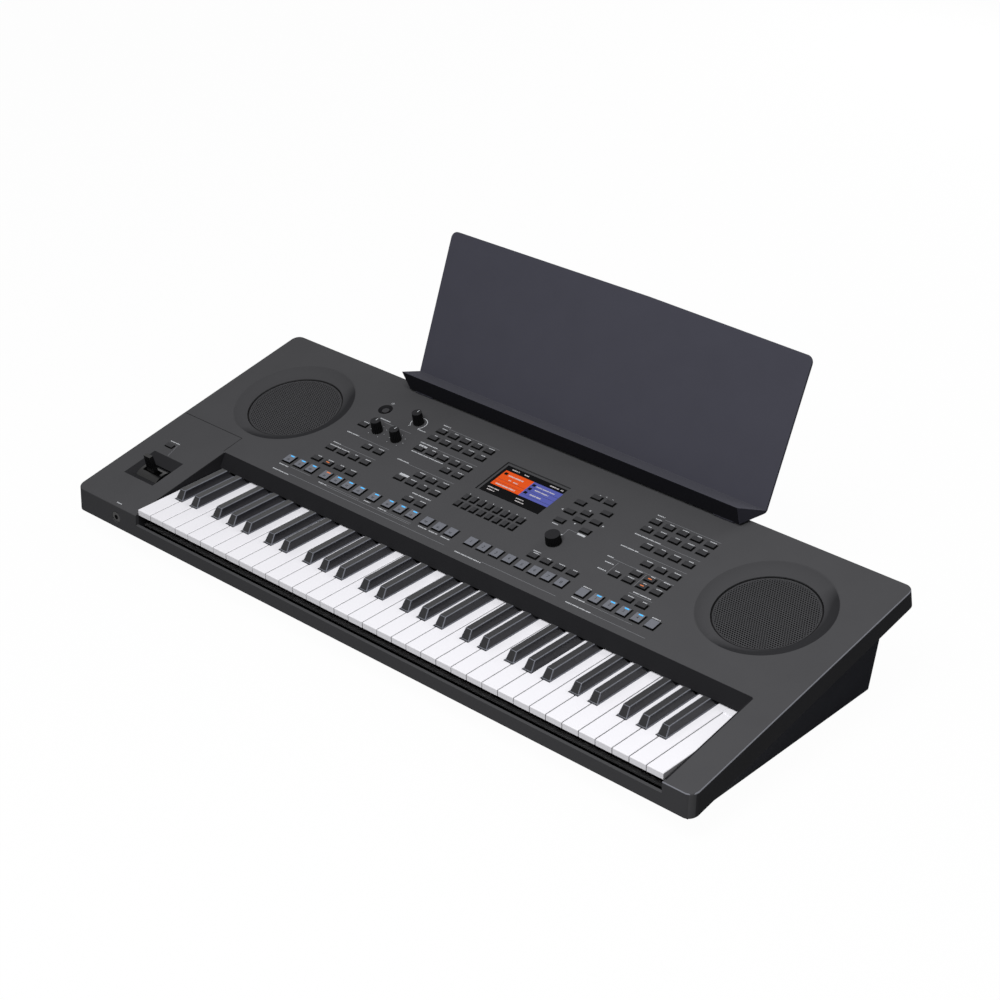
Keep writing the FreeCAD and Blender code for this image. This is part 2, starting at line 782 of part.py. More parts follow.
def dish_cuts(x):
    """The bowl of the dish, the seat of the grille and the hole behind it."""
    seat = grille_radius - grille_seat
    return [bowl(x),
            rod(x, speaker_y, -(dish_depth + grille_thickness), grille_radius, dish_depth + grille_thickness),
            rod(x, speaker_y, -(dish_depth + 3 * grille_thickness), seat, 3 * grille_thickness)]


def posts():
    """Places of the screw posts along the rear edge."""
    return [(step * post_spread, panel_length - post_inset_y) for step in (-1.5, -0.5, 0.5, 1.5)]


def deep_posts():
    """Places of the two posts that reach down to the floor of the tub."""
    return [(side * (half_case - deep_post_inset_x), deep_post_y) for side in (-1, 1)]


def deep_post_height():
    return front_edge_height + deep_post_y * tangent(panel_slope) - shell_wall / 2


def deep_post_rods(radius, low, height):
    """Upright rods where the deep posts stand."""
    return [rod(x, y_front + y, low, radius, height) for x, y in deep_posts()]


def upright_in_panel(shapes):
    """Puts shapes that stand upright among those that are modelled flat for the panel."""
    level = group(shapes)
    level.Placement = panel_frame().inverse()
    return level


def post_top(y):
    """Where the lower case's flange ends below a post."""
    return -(skirt_rear + (panel_length - y) * flange_fall) + shell_wall + fit_gap


def well_solid():
    """The sloped well of the joystick, as the space that it takes out."""
    top = size_rectangle(joystick_x, well_front, well_rear, well_width, 0)
    floor = size_rectangle(joystick_x, well_floor_front, well_floor_rear, well_floor_width, -well_depth)
    loft = doc.addObject("Part::Loft", "well")
    loft.Sections = [top, floor]
    loft.Solid = True
    loft.Ruled = True
    return loft


def size_rectangle(x, front, rear, width, z):
    sketch = doc.addObject("Sketcher::SketchObject", "rectangle")
    half = width / 2
    outline(sketch, [(x - half, front), (x + half, front), (x + half, rear), (x - half, rear)])
    return place(sketch, 0, 0, z)


def well_boss():
    """The moulding round the well, a wall thick."""
    low = -(well_depth + shell_wall)
    return box(joystick_x - well_width / 2 - shell_wall, well_front - shell_wall, low,
               well_width + 2 * shell_wall, well_rear - well_front + 2 * shell_wall, -low - shell_wall / 2)


def well_hole():
    """The opening in the well's floor, which follows the drum."""
    return rod(joystick_x - well_floor_width / 2, drum_y, -drum_drop, drum_radius + drum_gap, well_floor_width,
               (1, 0, 0))


def tongue_place(side):
    return side * tongue_spacing / 2


def tongue(side, spare):
    """A tongue of the music rest, or the slot for it with spare room round it."""
    wide = tongue_width + 2 * spare
    thick = tongue_thickness + 2 * spare
    return box(tongue_place(side) - wide / 2, -tongue_reach - thick / 2, -tongue_length, wide, thick,
               tongue_length - ledge_lip_drop / 3)


def panel_frame():
    return FreeCAD.Placement(FreeCAD.Vector(0, y_front.value, front_edge_height.value),
                             FreeCAD.Rotation(X_AXIS, panel_slope.value))


def rest_frame():
    return FreeCAD.Placement(FreeCAD.Vector(0, (y_front + rest_foot_y).value, rest_foot_z.value),
                             FreeCAD.Rotation(X_AXIS, -rest_lean.value))


def slots():
    """Slots for the tongues, which run along the lean of the rest."""
    both = group([tongue(side, fit_gap) for side in (-1, 1)])
    both.Placement = panel_frame().inverse() * rest_frame()
    return both


def phones_hole():
    """The hole for the headphone jack, level in the front wall."""
    reach = jack_length
    hole = rod(phones_x, y_front - reach / 2, phones_height, phones_nose_radius + fit_gap, reach, (0, 1, 0))
    return upright_in_panel([hole])


def board_bosses():
    """Bosses that carry the panel board."""
    reach = panel_board_width / 2 - board_boss_inset
    rows = (panel_board_front + board_boss_front, panel_board_rear - board_boss_inset)
    return [rod(side * reach, y, -panel_board_drop, post_radius, panel_board_drop - shell_wall / 2)
            for side in (-1, 1) for y in rows]


def top_panel():
    key_opening = box(opening_left, -skirt_front, -slip_cut_depth(), opening_right - opening_left,
                      skirt_front + fallboard_y, slip_cut_depth() + shell_wall)
    plain = cut(top_shell(), key_opening)
    display_boss = middle_box(display_x, display_y, -(recess_depth + window_thickness),
                              recess_width + 2 * shell_wall, recess_height + 2 * shell_wall,
                              recess_depth + window_thickness - shell_wall / 2)
    power_boss = rod(power_x, power_y, -(power_recess_depth + shell_wall), power_recess_radius + shell_wall,
                     power_recess_depth + shell_wall / 2)
    post_list = [rod(x, y, post_top(y), post_radius, -post_top(y) - shell_wall / 2) for x, y in posts()]
    deep_low = foot_height + tub_wall + fit_gap
    deep_rods = upright_in_panel(deep_post_rods(post_radius, deep_low, deep_post_height() - deep_low))
    moulded = fuse(plain, fallboard(), cheek(opening_left - shell_wall), cheek(opening_right),
                   dish_boss(left_speaker_x), dish_boss(right_speaker_x), display_boss, power_boss,
                   well_boss(), deep_rods, *(post_list + board_bosses()))
    cuts = dish_cuts(left_speaker_x) + dish_cuts(right_speaker_x)
    cuts.append(middle_box(display_x, display_y, -recess_depth, recess_width, recess_height, recess_depth))
    cuts.append(middle_box(display_x, display_y, -3 * window_thickness - recess_depth,
                           window_width + 2 * fit_gap, window_height + 2 * fit_gap, 4 * window_thickness))
    cuts.append(cone(power_x, power_y, -power_recess_depth, power_radius + power_moat, power_recess_radius,
                     power_recess_depth))
    cuts.append(rod(power_x, power_y, -4 * shell_wall, power_radius + fit_gap, 4 * shell_wall))
    cuts += [rod(x, y, -2 * shell_wall, shaft_radius + 2 * fit_gap, 3 * shell_wall)
             for x, y, radius in KNOBS.values()]
    cuts += [rod(x, y, post_top(y), screw_hole, screw_length) for x, y in posts()]
    cuts.append(upright_in_panel(deep_post_rods(screw_hole, foot_height, 2 * screw_length)))
    cuts += [well_solid(), well_hole(), slots(), phones_hole(), left_seam()]
    return cut(cut(moulded, *cuts), *panel_holes)


node(top_panel(), "top_panel", on_panel=True)


# Lower case: a flange that closes the shell from below, and an inset tub
flange_angle = panel_slope + arctangent(flange_fall)
flange_height = front_edge_height - skirt_front * cosine(panel_slope) - front_lean * sine(panel_slope)


def tub_loft(inset, floor, lift):
    """The tub's form between its floor and the flange, drawn in by a wall."""
    half_top = case_width / 2 - tub_top_inset - inset
    half_low = case_width / 2 - tub_bottom_inset - inset
    low = doc.addObject("Sketcher::SketchObject", "tub_floor")
    outline(low, [(-half_low, tub_bottom_front + inset), (half_low, tub_bottom_front + inset),
                  (half_low, tub_bottom_rear - inset), (-half_low, tub_bottom_rear - inset)])
    place(low, 0, y_front, foot_height + floor)
    top = doc.addObject("Sketcher::SketchObject", "tub_rim")
    front = (tub_top_front + inset - skirt_low_y) / cosine(flange_angle)
    rear = (tub_top_rear - inset - skirt_low_y) / cosine(flange_angle)
    outline(top, [(-half_top, front), (half_top, front), (half_top, rear), (-half_top, rear)])
    turn(top, flange_angle)
    place(top, 0, y_front + skirt_low_y, flange_height + lift)
    loft = doc.addObject("Part::Loft", "tub")
    loft.Sections = [low, top]
    loft.Solid = True
    loft.Ruled = True
    return loft


def flange():
    inset = shell_wall + fit_gap
    low_front = (2 * shell_wall - front_lean, -skirt_front + 2 * shell_wall * flange_fall)
    low_rear = (panel_length - inset, -skirt_rear - inset * flange_fall)
    body = across_body("flange", [low_front, low_rear, (low_rear[0], low_rear[1] + shell_wall),
                                  (low_front[0], low_front[1] + shell_wall)], case_width - 2 * inset)
    round_edges(body, corner_radius - shell_wall, short_edge(2 * shell_wall))
    return tilt_to_panel(body)


def on_panel_group(shapes):
    return tilt_to_panel(group(shapes))


def jack_places():
    """Places and bores of the rear jacks: four phone jacks, a small jack and the power inlet."""
    bores = 4 * [jack_bore] + [small_bore, inlet_bore]
    return [(rear_jack_x + step * jack_pitch, bore) for step, bore in enumerate(bores)]


def usb_places():
    return [rear_jack_x - (step + 1) * jack_pitch for step in range(2)]


rim_height = flange_height + (tub_top_rear - skirt_low_y) * tangent(flange_angle)
jack_share = (jack_height - foot_height) / (rim_height - foot_height)
rear_wall_y = y_front + tub_bottom_rear - (tub_bottom_rear - tub_top_rear) * jack_share
jack_nose_y = rear_wall_y - 2 * tub_wall


def bottom_case():
    rib_top = chassis_floor - foot_height - tub_wall / 2
    rib_length = chassis_riser - tub_bottom_front - 3 * tub_wall
    ribs = [box(step * rib_spacing + key_field_x - rib_thickness / 2, y_front + tub_bottom_front + 4 * tub_wall,
                foot_height + tub_wall / 2, rib_thickness, rib_length, rib_top)
            for step in (-1.5, -0.5, 0.5, 1.5)]
    reach_x = main_board_length / 2 - standoff_inset
    reach_y = main_board_width / 2 - standoff_inset
    standoffs = [rod(x * reach_x, main_board_y() + y * reach_y, foot_height + tub_wall / 2, post_radius,
                     standoff + tub_wall / 2) for x in (-1, 1) for y in (-1, 1)]
    hollow = cut(fuse(flange(), tub_loft(as_size(0), as_size(0), as_size(0))),
                 tub_loft(tub_wall, tub_wall, 2 * shell_wall))
    holes = [rod(x, jack_nose_y, jack_height, jack_nose_radius + fit_gap, 6 * tub_wall, (0, 1, 0))
             for x, bore in jack_places()]
    holes += [box(x - usb_width / 2 - 2 * fit_gap - chassis_wall, jack_nose_y,
                  jack_height - usb_height / 2 - 2 * fit_gap - chassis_wall,
                  usb_width + 4 * fit_gap + 2 * chassis_wall, 6 * tub_wall,
                  usb_height + 4 * fit_gap + 2 * chassis_wall) for x in usb_places()]
    rear_holes = on_panel_group([rod(x, y, post_top(y) - 3 * shell_wall, screw_hole, 4 * shell_wall)
                                 for x, y in posts()])
    holes += deep_post_rods(screw_hole, 0, 3 * tub_wall)
    return cut(fuse(hollow, *(ribs + standoffs)), rear_holes, *holes)


def main_board_y():
    return y_front + (tub_bottom_front + tub_bottom_rear) / 2 + main_board_width / 2


node(bottom_case(), "bottom_case")


def screw(x, y, seat):
    """A pan head under the seat and a shank above it."""
    low = seat - screw_head_height - fit_gap / 2
    return fuse(rod(x, y, low, screw_head_radius, screw_head_height),
                rod(x, y, low, screw_radius, screw_head_height + screw_length))


rear_screws = on_panel_group([screw(x, y, post_top(y) - shell_wall - fit_gap) for x, y in posts()])
floor_screws = group([screw(x, y_front + y, foot_height) for x, y in deep_posts()])
node(group([rear_screws, floor_screws]), "case_screws")

feet = [rod(side * (half_case - foot_inset_x), y, 0, foot_radius, foot_height) for side in (-1, 1)
        for y in (y_front + tub_bottom_front + foot_inset_y, y_front + tub_bottom_rear - foot_inset_y)]
node(group(feet), "rubber_feet")

node(box(-main_board_length / 2, main_board_y() - main_board_width / 2, foot_height + tub_wall + standoff,
         main_board_length, main_board_width, board_thickness), "main_board")


# Keys
WHITE_STEPS = {"C": 0, "D": 2, "E": 4, "F": 5, "G": 7, "A": 9, "B": 11}
WHITE_NAMES = "CDEFGAB"
BLACK_STEPS = (1, 3, 6, 8, 10)
COMB_LEVELS = {"cegb": 0, "dfa": 1, "black": 2}
comb_base = key_top - key_depth + key_gap / 2


def comb_z(level):
    return comb_base + level * (comb_thickness + comb_gap)


def comb_rail_bar(left, width, level):
    return box(left + key_gap / 2, key_y + key_pivot, comb_z(level), width - key_gap, comb_rail, comb_thickness)


def comb_link(x, level):
    """The flexible tongue from a key's body to the rail of its comb."""
    return middle_box(x, key_y + (key_body + key_pivot) / 2, comb_z(level), comb_tongue,
                      key_pivot - key_body + 2 * comb_thickness, comb_thickness)


def white_key(left, name):
    """Blocks of one white key: a wide head with a lip, and a tail between the black keys."""
    head_left = left + WHITE_NAMES.index(name) * white_pitch
    head_right = head_left + white_pitch
    tail_left = head_left if name in "CF" else left + WHITE_STEPS[name] * semitone
    tail_right = head_right if name in "EB" else left + (WHITE_STEPS[name] + 1) * semitone
    head = box(head_left + key_gap / 2, key_y, key_top - key_lip, white_pitch - key_gap, key_head, key_lip)
    tail = box(tail_left + key_gap / 2, key_y + key_deep, key_top - key_depth,
               tail_right - tail_left - key_gap, key_body - key_deep, key_depth)
    return [head, tail], (tail_left + tail_right) / 2


def chamfered(shape):
    """Breaks the top edges round the fronts of the keys."""
    doc.recompute()
    broken = doc.addObject("Part::Chamfer", "broken_edges")
    broken.Base = shape
    found = []
    for index, edge in enumerate(shape.Shape.Edges):
        high = all(abs(v.Z - key_top.value) < 0.01 for v in edge.Vertexes)
        front = any(v.Y < key_y.value + 0.01 for v in edge.Vertexes)
        if high and front:
            found.append((index + 1, key_chamfer.value, key_chamfer.value))
    broken.Edges = found
    return broken


def white_comb(left, names, level):
    blocks = [comb_rail_bar(left, octave_span, level)]
    for name in names:
        parts, tail_x = white_key(left, name)
        blocks += parts + [comb_link(tail_x, level)]
    return chamfered(fuse(*blocks))


def black_comb(left, level):
    blocks = [comb_rail_bar(left, octave_span, level)]
    cap_front = key_head + key_gap
    cap_rear = fallboard_reach - black_rear_gap
    for step in BLACK_STEPS:
        x = left + (step + 0.5) * semitone
        width = semitone - key_gap
        blocks.append(taper(x, key_y + cap_front, key_top - key_gap, width, cap_rear - cap_front,
                            black_height + key_gap, black_side_slope, black_front_slope, black_rear_slope))
        blocks.append(middle_box(x, key_y + (cap_front + key_body) / 2, key_top - key_depth, width,
                                 key_body - cap_front, key_depth))
        blocks.append(comb_link(x, level))
    return fuse(*blocks)


def top_c_key():
    left = key_field_right - white_pitch
    body = box(left + key_gap / 2, key_y, key_top - key_lip, white_pitch - key_gap, key_body, key_lip)
    tail = box(left + key_gap / 2, key_y + key_deep, key_top - key_depth, white_pitch - key_gap,
               key_body - key_deep, key_depth)
    step = box(left + key_gap / 2, key_y + fallboard_reach - black_rear_gap - top_c_step, key_top - key_gap,
               white_pitch - key_gap, top_c_step, key_gap + top_c_rise)
    blocks = [body, tail, step, comb_link(left + white_pitch / 2, 0), comb_rail_bar(left, white_pitch, 0)]
    return chamfered(fuse(*blocks))


for octave in range(OCTAVES):
    left = key_field_left + octave * octave_span
    prefix = "octave%d_keys_" % (octave + 1)
    node(white_comb(left, "CEGB", COMB_LEVELS["cegb"]), prefix + "cegb")
    node(white_comb(left, "DFA", COMB_LEVELS["dfa"]), prefix + "dfa")
    node(black_comb(left, COMB_LEVELS["black"]), prefix + "black")
node(top_c_key(), "top_c_key")


# Key chassis, contacts and felt under the keys
def chassis():
    floor_top = chassis_floor + chassis_wall
    shelf_top = comb_base - fit_gap
    riser_back = chassis_riser + chassis_wall
    shelf_low = shelf_top - chassis_wall
    profile = [(chassis_front, chassis_floor), (riser_back, chassis_floor), (riser_back, shelf_low),
               (chassis_rear, shelf_low), (chassis_rear, shelf_top), (chassis_riser, shelf_top),
               (chassis_riser, floor_top), (chassis_front, floor_top)]
    body = across_body("chassis", profile, key_field_width)
    return place(body, key_field_x, key_y, 0)


def key_wide(front, z, width, height):
    """A strip under the whole key field."""
    return middle_box(key_field_x, key_y + front + width / 2, z, key_field_width - 2 * key_gap, width, height)


node(chassis(), "key_chassis")
chassis_top = chassis_floor + chassis_wall
node(key_wide(contact_front, chassis_top, contact_width, board_thickness), "key_contact_board")
node(key_wide(contact_front + (contact_width - rubber_width) / 2, chassis_top + board_thickness, rubber_width,
              rubber_height), "contact_rubber")
node(key_wide(felt_front, chassis_top, felt_width,
              key_top - key_lip - chassis_top - key_press), "key_stop_felt")


# Speakers and grilles
def grille(label, x):
    rim = -(dish_depth + grille_thickness)
    edge = grille_radius - fit_gap
    body = turned_body(label, [(0, rim + grille_dome), (edge, rim), (edge, rim + grille_thickness),
                               (0, rim + grille_thickness + grille_dome)])
    place(body, x, speaker_y, 0)
    return node(group([body]), label, on_panel=True)


def speaker(label, x):
    top = -(dish_depth + 2 * grille_thickness) - fit_gap
    edge = grille_radius + grille_seat
    low = top - speaker_depth
    basket = low + magnet_height
    throat = basket + 2 * cone_wall
    body = turned_body(label, [
        (0, low), (magnet_radius, low), (magnet_radius, basket), (basket_radius, basket + cone_wall),
        (edge - 2 * grille_seat, top - 2 * shell_wall), (edge, top - shell_wall), (edge, top),
        (edge - 1.5 * grille_seat, top), (basket_radius, throat + cone_wall), (cap_radius, throat + cone_wall),
        (0, throat + cone_wall + cap_rise)])
    place(body, x, speaker_y, 0)
    return node(group([body]), label, on_panel=True)


grille("left_grille", left_speaker_x)
grille("right_grille", right_speaker_x)
speaker("left_speaker", left_speaker_x)
speaker("right_speaker", right_speaker_x)

# Display
window_low = -(recess_depth + window_thickness)
window = middle_box(display_x, display_y, window_low, window_width, window_height, window_thickness)
module = middle_box(display_x, display_y, window_low - module_thickness - fit_gap, recess_width, recess_height,
                    module_thickness)
node(group([window]), "display_window", on_panel=True)
node(group([module]), "display_module", on_panel=True)

# Panel board with its potentiometers
board_low = -panel_board_drop - board_thickness - fit_gap
pots = [middle_box(x, y, -panel_board_drop - fit_gap - board_thickness / 2, pot_size, pot_size,
                   pot_size - 2 * knob_lift) for x, y, radius in KNOBS.values()]
board_plate = box(-panel_board_width / 2, panel_board_front, board_low, panel_board_width,
                  panel_board_rear - panel_board_front, board_thickness)
node(fuse(board_plate, *pots), "panel_board", on_panel=True)

# Joystick: a drum that rocks to and fro, with a lever that swings left and right in its slot


def drum():
    width = well_floor_width - 2 * drum_gap
    roller = rod(joystick_x - width / 2, drum_y, -drum_drop, drum_radius, width, (1, 0, 0))
    below = box(joystick_x - width, drum_y - 2 * drum_radius, -drum_drop - 2 * drum_radius, 2 * width,
                4 * drum_radius, 2 * drum_radius - shaft_radius * 2)
    axle = rod(joystick_x - width / 2 - bracket_wall - drum_gap, drum_y, -drum_drop, shaft_radius,
               width + 2 * bracket_wall + 2 * drum_gap, (1, 0, 0))
    slot = middle_box(joystick_x, drum_y, -drum_drop - drum_radius, drum_slot_length, drum_slot_width,
                      3 * drum_radius)
    pin = rod(joystick_x, drum_y - drum_slot_width, -drum_drop, shaft_radius, 2 * drum_slot_width, (0, 1, 0))
    return fuse(cut(fuse(cut(roller, below), axle), slot), pin)


def lever():
    thick = lever_thickness
    stem_low = -drum_drop - 2 * shaft_radius
    grip_low = drum_radius - drum_drop
    stem = middle_box(joystick_x, drum_y, stem_low, 4 * shaft_radius, thick, grip_low - stem_low + shell_wall)
    pin_hole = rod(joystick_x, drum_y - thick, -drum_drop, shaft_radius + fit_gap, 2 * thick, (0, 1, 0))
    grip = taper(joystick_x, drum_y - thick / 2, grip_low + fit_gap, lever_width, thick,
                 lever_height - grip_low - fit_gap, (lever_width - lever_top_width) / 2, 0, shell_wall / 2)
    return cut(fuse(stem, grip), pin_hole)


node(group([drum()]), "joystick_drum", on_panel=True)
node(group([lever()]), "joystick_lever", on_panel=True)


def joystick_bracket():
    """Two cheeks with bearing holes, under the well."""
    width = well_floor_width - 2 * drum_gap
    top = -(well_depth + shell_wall) - fit_gap
    plates = []
    for side in (-1, 1):
        x = joystick_x + side * (width / 2 + drum_gap + bracket_wall / 2)
        plates.append(middle_box(x, drum_y, -drum_drop - 2 * shaft_radius, bracket_wall, drum_radius,
                                 drum_drop + 2 * shaft_radius + top))
    bearing = rod(joystick_x - width, drum_y, -drum_drop, shaft_radius + fit_gap, 2 * width, (1, 0, 0))
    return cut(group(plates), bearing)


node(group([joystick_bracket()]), "joystick_bracket", on_panel=True)


# Music rest: a leaning board with a ledge, on two tongues
def music_rest():
    board = new_body("rest_board")
    pad = board.newObject("PartDesign::Pad", "rest_pad")
    pad.Profile = body_sketch(board, "XZ", [
        (-rest_foot_width / 2, 0), (rest_foot_width / 2, 0), (rest_top_width / 2, rest_height),
        (-rest_top_width / 2, rest_height)], {2: rest_arch})
    pad.Reversed = True
    bind(pad, "Length", rest_thickness)
    round_edges(board, rest_corner, short_edge(2 * rest_thickness, rest_height / 2))
    profile = across_body("rest_ledge", [
        (-ledge_depth, 0), (rest_thickness, 0), (rest_thickness, -rest_thickness),
        (-ledge_lip_reach, -ledge_lip_drop)], rest_foot_width)
    plan = new_body("rest_plan")
    plan_pad = plan.newObject("PartDesign::Pad", "rest_plan_pad")
    plan_pad.Profile = body_sketch(plan, "XY", [
        (-ledge_front_width / 2, -ledge_depth), (ledge_front_width / 2, -ledge_depth),
        (rest_foot_width / 2, 0), (rest_foot_width / 2, ledge_root), (-rest_foot_width / 2, ledge_root),
        (-rest_foot_width / 2, 0)])
    plan_pad.Reversed = True
    bind(plan_pad, "Length", ledge_lip_drop)
    bind(plan_pad, "TaperAngle", -ledge_end_draft)
    ledge = doc.addObject("Part::Common", "ledge")
    ledge.Base = profile
    ledge.Tool = plan
    return fuse(board, ledge, *[tongue(side, as_size(0)) for side in (-1, 1)],
                *[rest_foot(side) for side in (-1, 1)])


def rest_foot(side):
    """A small foot under the lip, just clear of the panel."""
    lean_cos = cosine(rest_lean)
    lean_sin = sine(rest_lean)
    slope = tangent(panel_slope)
    rear = rest_foot_depth - ledge_lip_reach
    lift = (rest_gap + front_edge_height + slope * (rest_foot_y + rear * lean_cos)
            - rest_foot_z + rear * lean_sin)
    low = lift / (lean_cos - slope * lean_sin)
    return box(tongue_place(side) - tongue_width / 2, -ledge_lip_reach, low, tongue_width,
               rest_foot_depth, -low - ledge_lip_drop / 2)


node(lean_to_rest(music_rest()), "music_rest")


# Jacks
def jack(x, y, z, out, bore_radius, tall, nose_radius=jack_nose_radius):
    """A jack body with a round nose and its bore, which opens at y and faces along out."""
    middle = y - (jack_length + nose_reach) * out / 2
    body = middle_box(x, middle, z - tall / 2, jack_width, jack_length - nose_reach, tall)
    tip = rod(x, y, z, nose_radius, jack_length, (0, -out, 0))
    bore = rod(x, y, z, bore_radius, jack_length - tub_wall, (0, -out, 0))
    return cut(fuse(body, tip), bore)


def usb_socket(x):
    wide = usb_width + 2 * chassis_wall
    tall = usb_height + 2 * chassis_wall
    deep = jack_length
    body = middle_box(x, jack_face_y - deep / 2, jack_height - tall / 2, wide, deep, tall)
    hollow = middle_box(x, jack_face_y - usb_depth / 2, jack_height - usb_height / 2, usb_width, usb_depth,
                        usb_height)
    return cut(body, hollow)


jack_face_y = rear_wall_y + fit_gap
nose_reach = 4 * tub_wall
jack_bodies = [jack(x, jack_face_y, jack_height, 1, bore, jack_body) for x, bore in jack_places()]
jack_bodies += [usb_socket(x) for x in usb_places()]
node(group(jack_bodies), "rear_jacks")
node(box(rear_jack_x - 3 * jack_pitch, jack_face_y - jack_length - board_thickness, jack_height - jack_body,
         9 * jack_pitch, board_thickness, 2 * jack_body), "jack_board")
phones_jack = jack(phones_x, y_front - 2 * fit_gap, phones_height, -1, jack_bore, phones_body,
                   phones_nose_radius)
node(group([phones_jack]), "headphone_jack")


# Build, check and write
doc.recompute()
faults = [item.Label for item in doc.Objects if {"Invalid", "Error"} & set(item.State)]
for label, piece in nodes.items():
    if piece.Shape.isNull() or not piece.Shape.isValid():
        faults.append(label)
if faults:
    raise RuntimeError("failed pieces: " + ", ".join(faults))
os.makedirs("parts", exist_ok=True)
for label, piece in nodes.items():
    piece.Shape.exportStep(os.path.join("parts", label + ".step"))
print(len(nodes), "pieces written")
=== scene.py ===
import math

import bmesh
import bpy
from mathutils import Matrix, Vector


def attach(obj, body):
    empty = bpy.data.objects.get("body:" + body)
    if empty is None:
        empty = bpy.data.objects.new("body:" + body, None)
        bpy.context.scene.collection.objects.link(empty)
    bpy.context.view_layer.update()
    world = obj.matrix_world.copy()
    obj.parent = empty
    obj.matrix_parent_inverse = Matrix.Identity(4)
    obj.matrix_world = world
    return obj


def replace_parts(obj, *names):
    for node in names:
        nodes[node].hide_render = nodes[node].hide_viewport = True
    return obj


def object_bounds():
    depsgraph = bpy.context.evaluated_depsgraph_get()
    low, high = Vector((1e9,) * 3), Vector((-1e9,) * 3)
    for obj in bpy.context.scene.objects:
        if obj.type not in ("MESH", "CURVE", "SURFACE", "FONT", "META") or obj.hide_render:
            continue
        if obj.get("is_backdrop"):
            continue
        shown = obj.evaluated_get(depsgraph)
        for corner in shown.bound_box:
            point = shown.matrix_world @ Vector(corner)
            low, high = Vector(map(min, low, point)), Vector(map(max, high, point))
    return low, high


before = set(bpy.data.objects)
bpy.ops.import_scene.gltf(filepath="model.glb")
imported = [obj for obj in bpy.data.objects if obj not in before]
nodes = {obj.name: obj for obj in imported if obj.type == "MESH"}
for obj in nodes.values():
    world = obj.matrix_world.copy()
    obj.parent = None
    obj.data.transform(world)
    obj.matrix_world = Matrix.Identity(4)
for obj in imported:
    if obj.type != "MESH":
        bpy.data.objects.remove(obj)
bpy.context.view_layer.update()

# The sloped panel: x from the middle, y up the slope from the front edge, z off its face, all in mm
MM = 0.001
SLOPE = math.radians(10.43)
FRONT_EDGE = Vector((0, -240.237, 62.2))
PANEL_TURN = Matrix.Rotation(SLOPE, 4, "X")
PANEL_PLACE = Matrix.Scale(MM, 4) @ Matrix.Translation(FRONT_EDGE) @ PANEL_TURN
FROM_PANEL = PANEL_PLACE.inverted()
POWER_PLACE = Vector((-269.3, 331.8, 0))

# Ways in which faces look, for painted light and shade, and how squarely they look there: 1 straight on, 0
# across
OFF_PANEL = PANEL_TURN @ Vector((0, 0, 1))
TO_FRONT = (0, -1, 0)
TO_REAR = (0, 1, 0)
TO_LEFT = (-1, 0, 0)
TO_RIGHT = (1, 0, 0)
OFF_REST_LIP = (0, -0.938, -0.347)
OFF_REST_LEDGE = (0, 0.39, 0.92)
OFF_DISH_SHADE = (-0.88, 0.33, 0.34)
DISH_SHADE_STARTS = 0.28
DISH_SHADE_FULL = 0.42
# Facings of the rounded edges that carry painted highlights
ROUNDED_EDGE = (0.25, 0.93)
BLACK_KEY_EDGES = ((0.25, 0.69), (0.71, 0.955))
NO_LIMIT = 1.1

# Corners of a mesh that lie closer together than this are one, in metres
WELD_DISTANCE = 0.00001

# Places of the case that carry painted shade and a painted highlight, in metres
KEY_SPACE_LOW = (-0.3865, -0.236, 0)
KEY_SPACE_HIGH = (0.4625, -0.0885, 0.0898)
WELL_LOW = (-0.4709, -0.188, 0.05)
WELL_HIGH = (-0.4139, -0.1335, 0.1)
POWER_RECESS_RADIUS = 0.0098
DISH_RADIUS = 0.0812
BORDER_RIGHT = 0.4995
BORDER_FRONT = -0.2385
RIGHT_BLOCK = 0.46

# Grain and unevenness of all plastics
CLOUD_SCALE = 22
CLOUD_DETAIL = 4
GLOSS_SPREAD = 0.05
GRAIN_DETAIL = 2
GRAIN_STRENGTH = 0.25


# Materials: colours as they look, in sRGB from 0 to 255
def linear(colour):
    """Linear light from sRGB values."""
    shares = [value / 255 for value in colour]
    return [s / 12.92 if s <= 0.04045 else ((s + 0.055) / 1.055) ** 2.4 for s in shares]


def bright(colour, share):
    """A colour for a socket, with its light raised or lowered by a share."""
    return (*[min(1, value * share) for value in linear(colour)], 1)


def maths(tree, operation, first, second):
    """One step of arithmetic on two values or sockets."""
    node = tree.nodes.new("ShaderNodeMath")
    node.operation = operation
    for socket, value in zip(node.inputs, (first, second)):
        if isinstance(value, bpy.types.NodeSocket):
            tree.links.new(value, socket)
        else:
            socket.default_value = value
    return node.outputs[0]


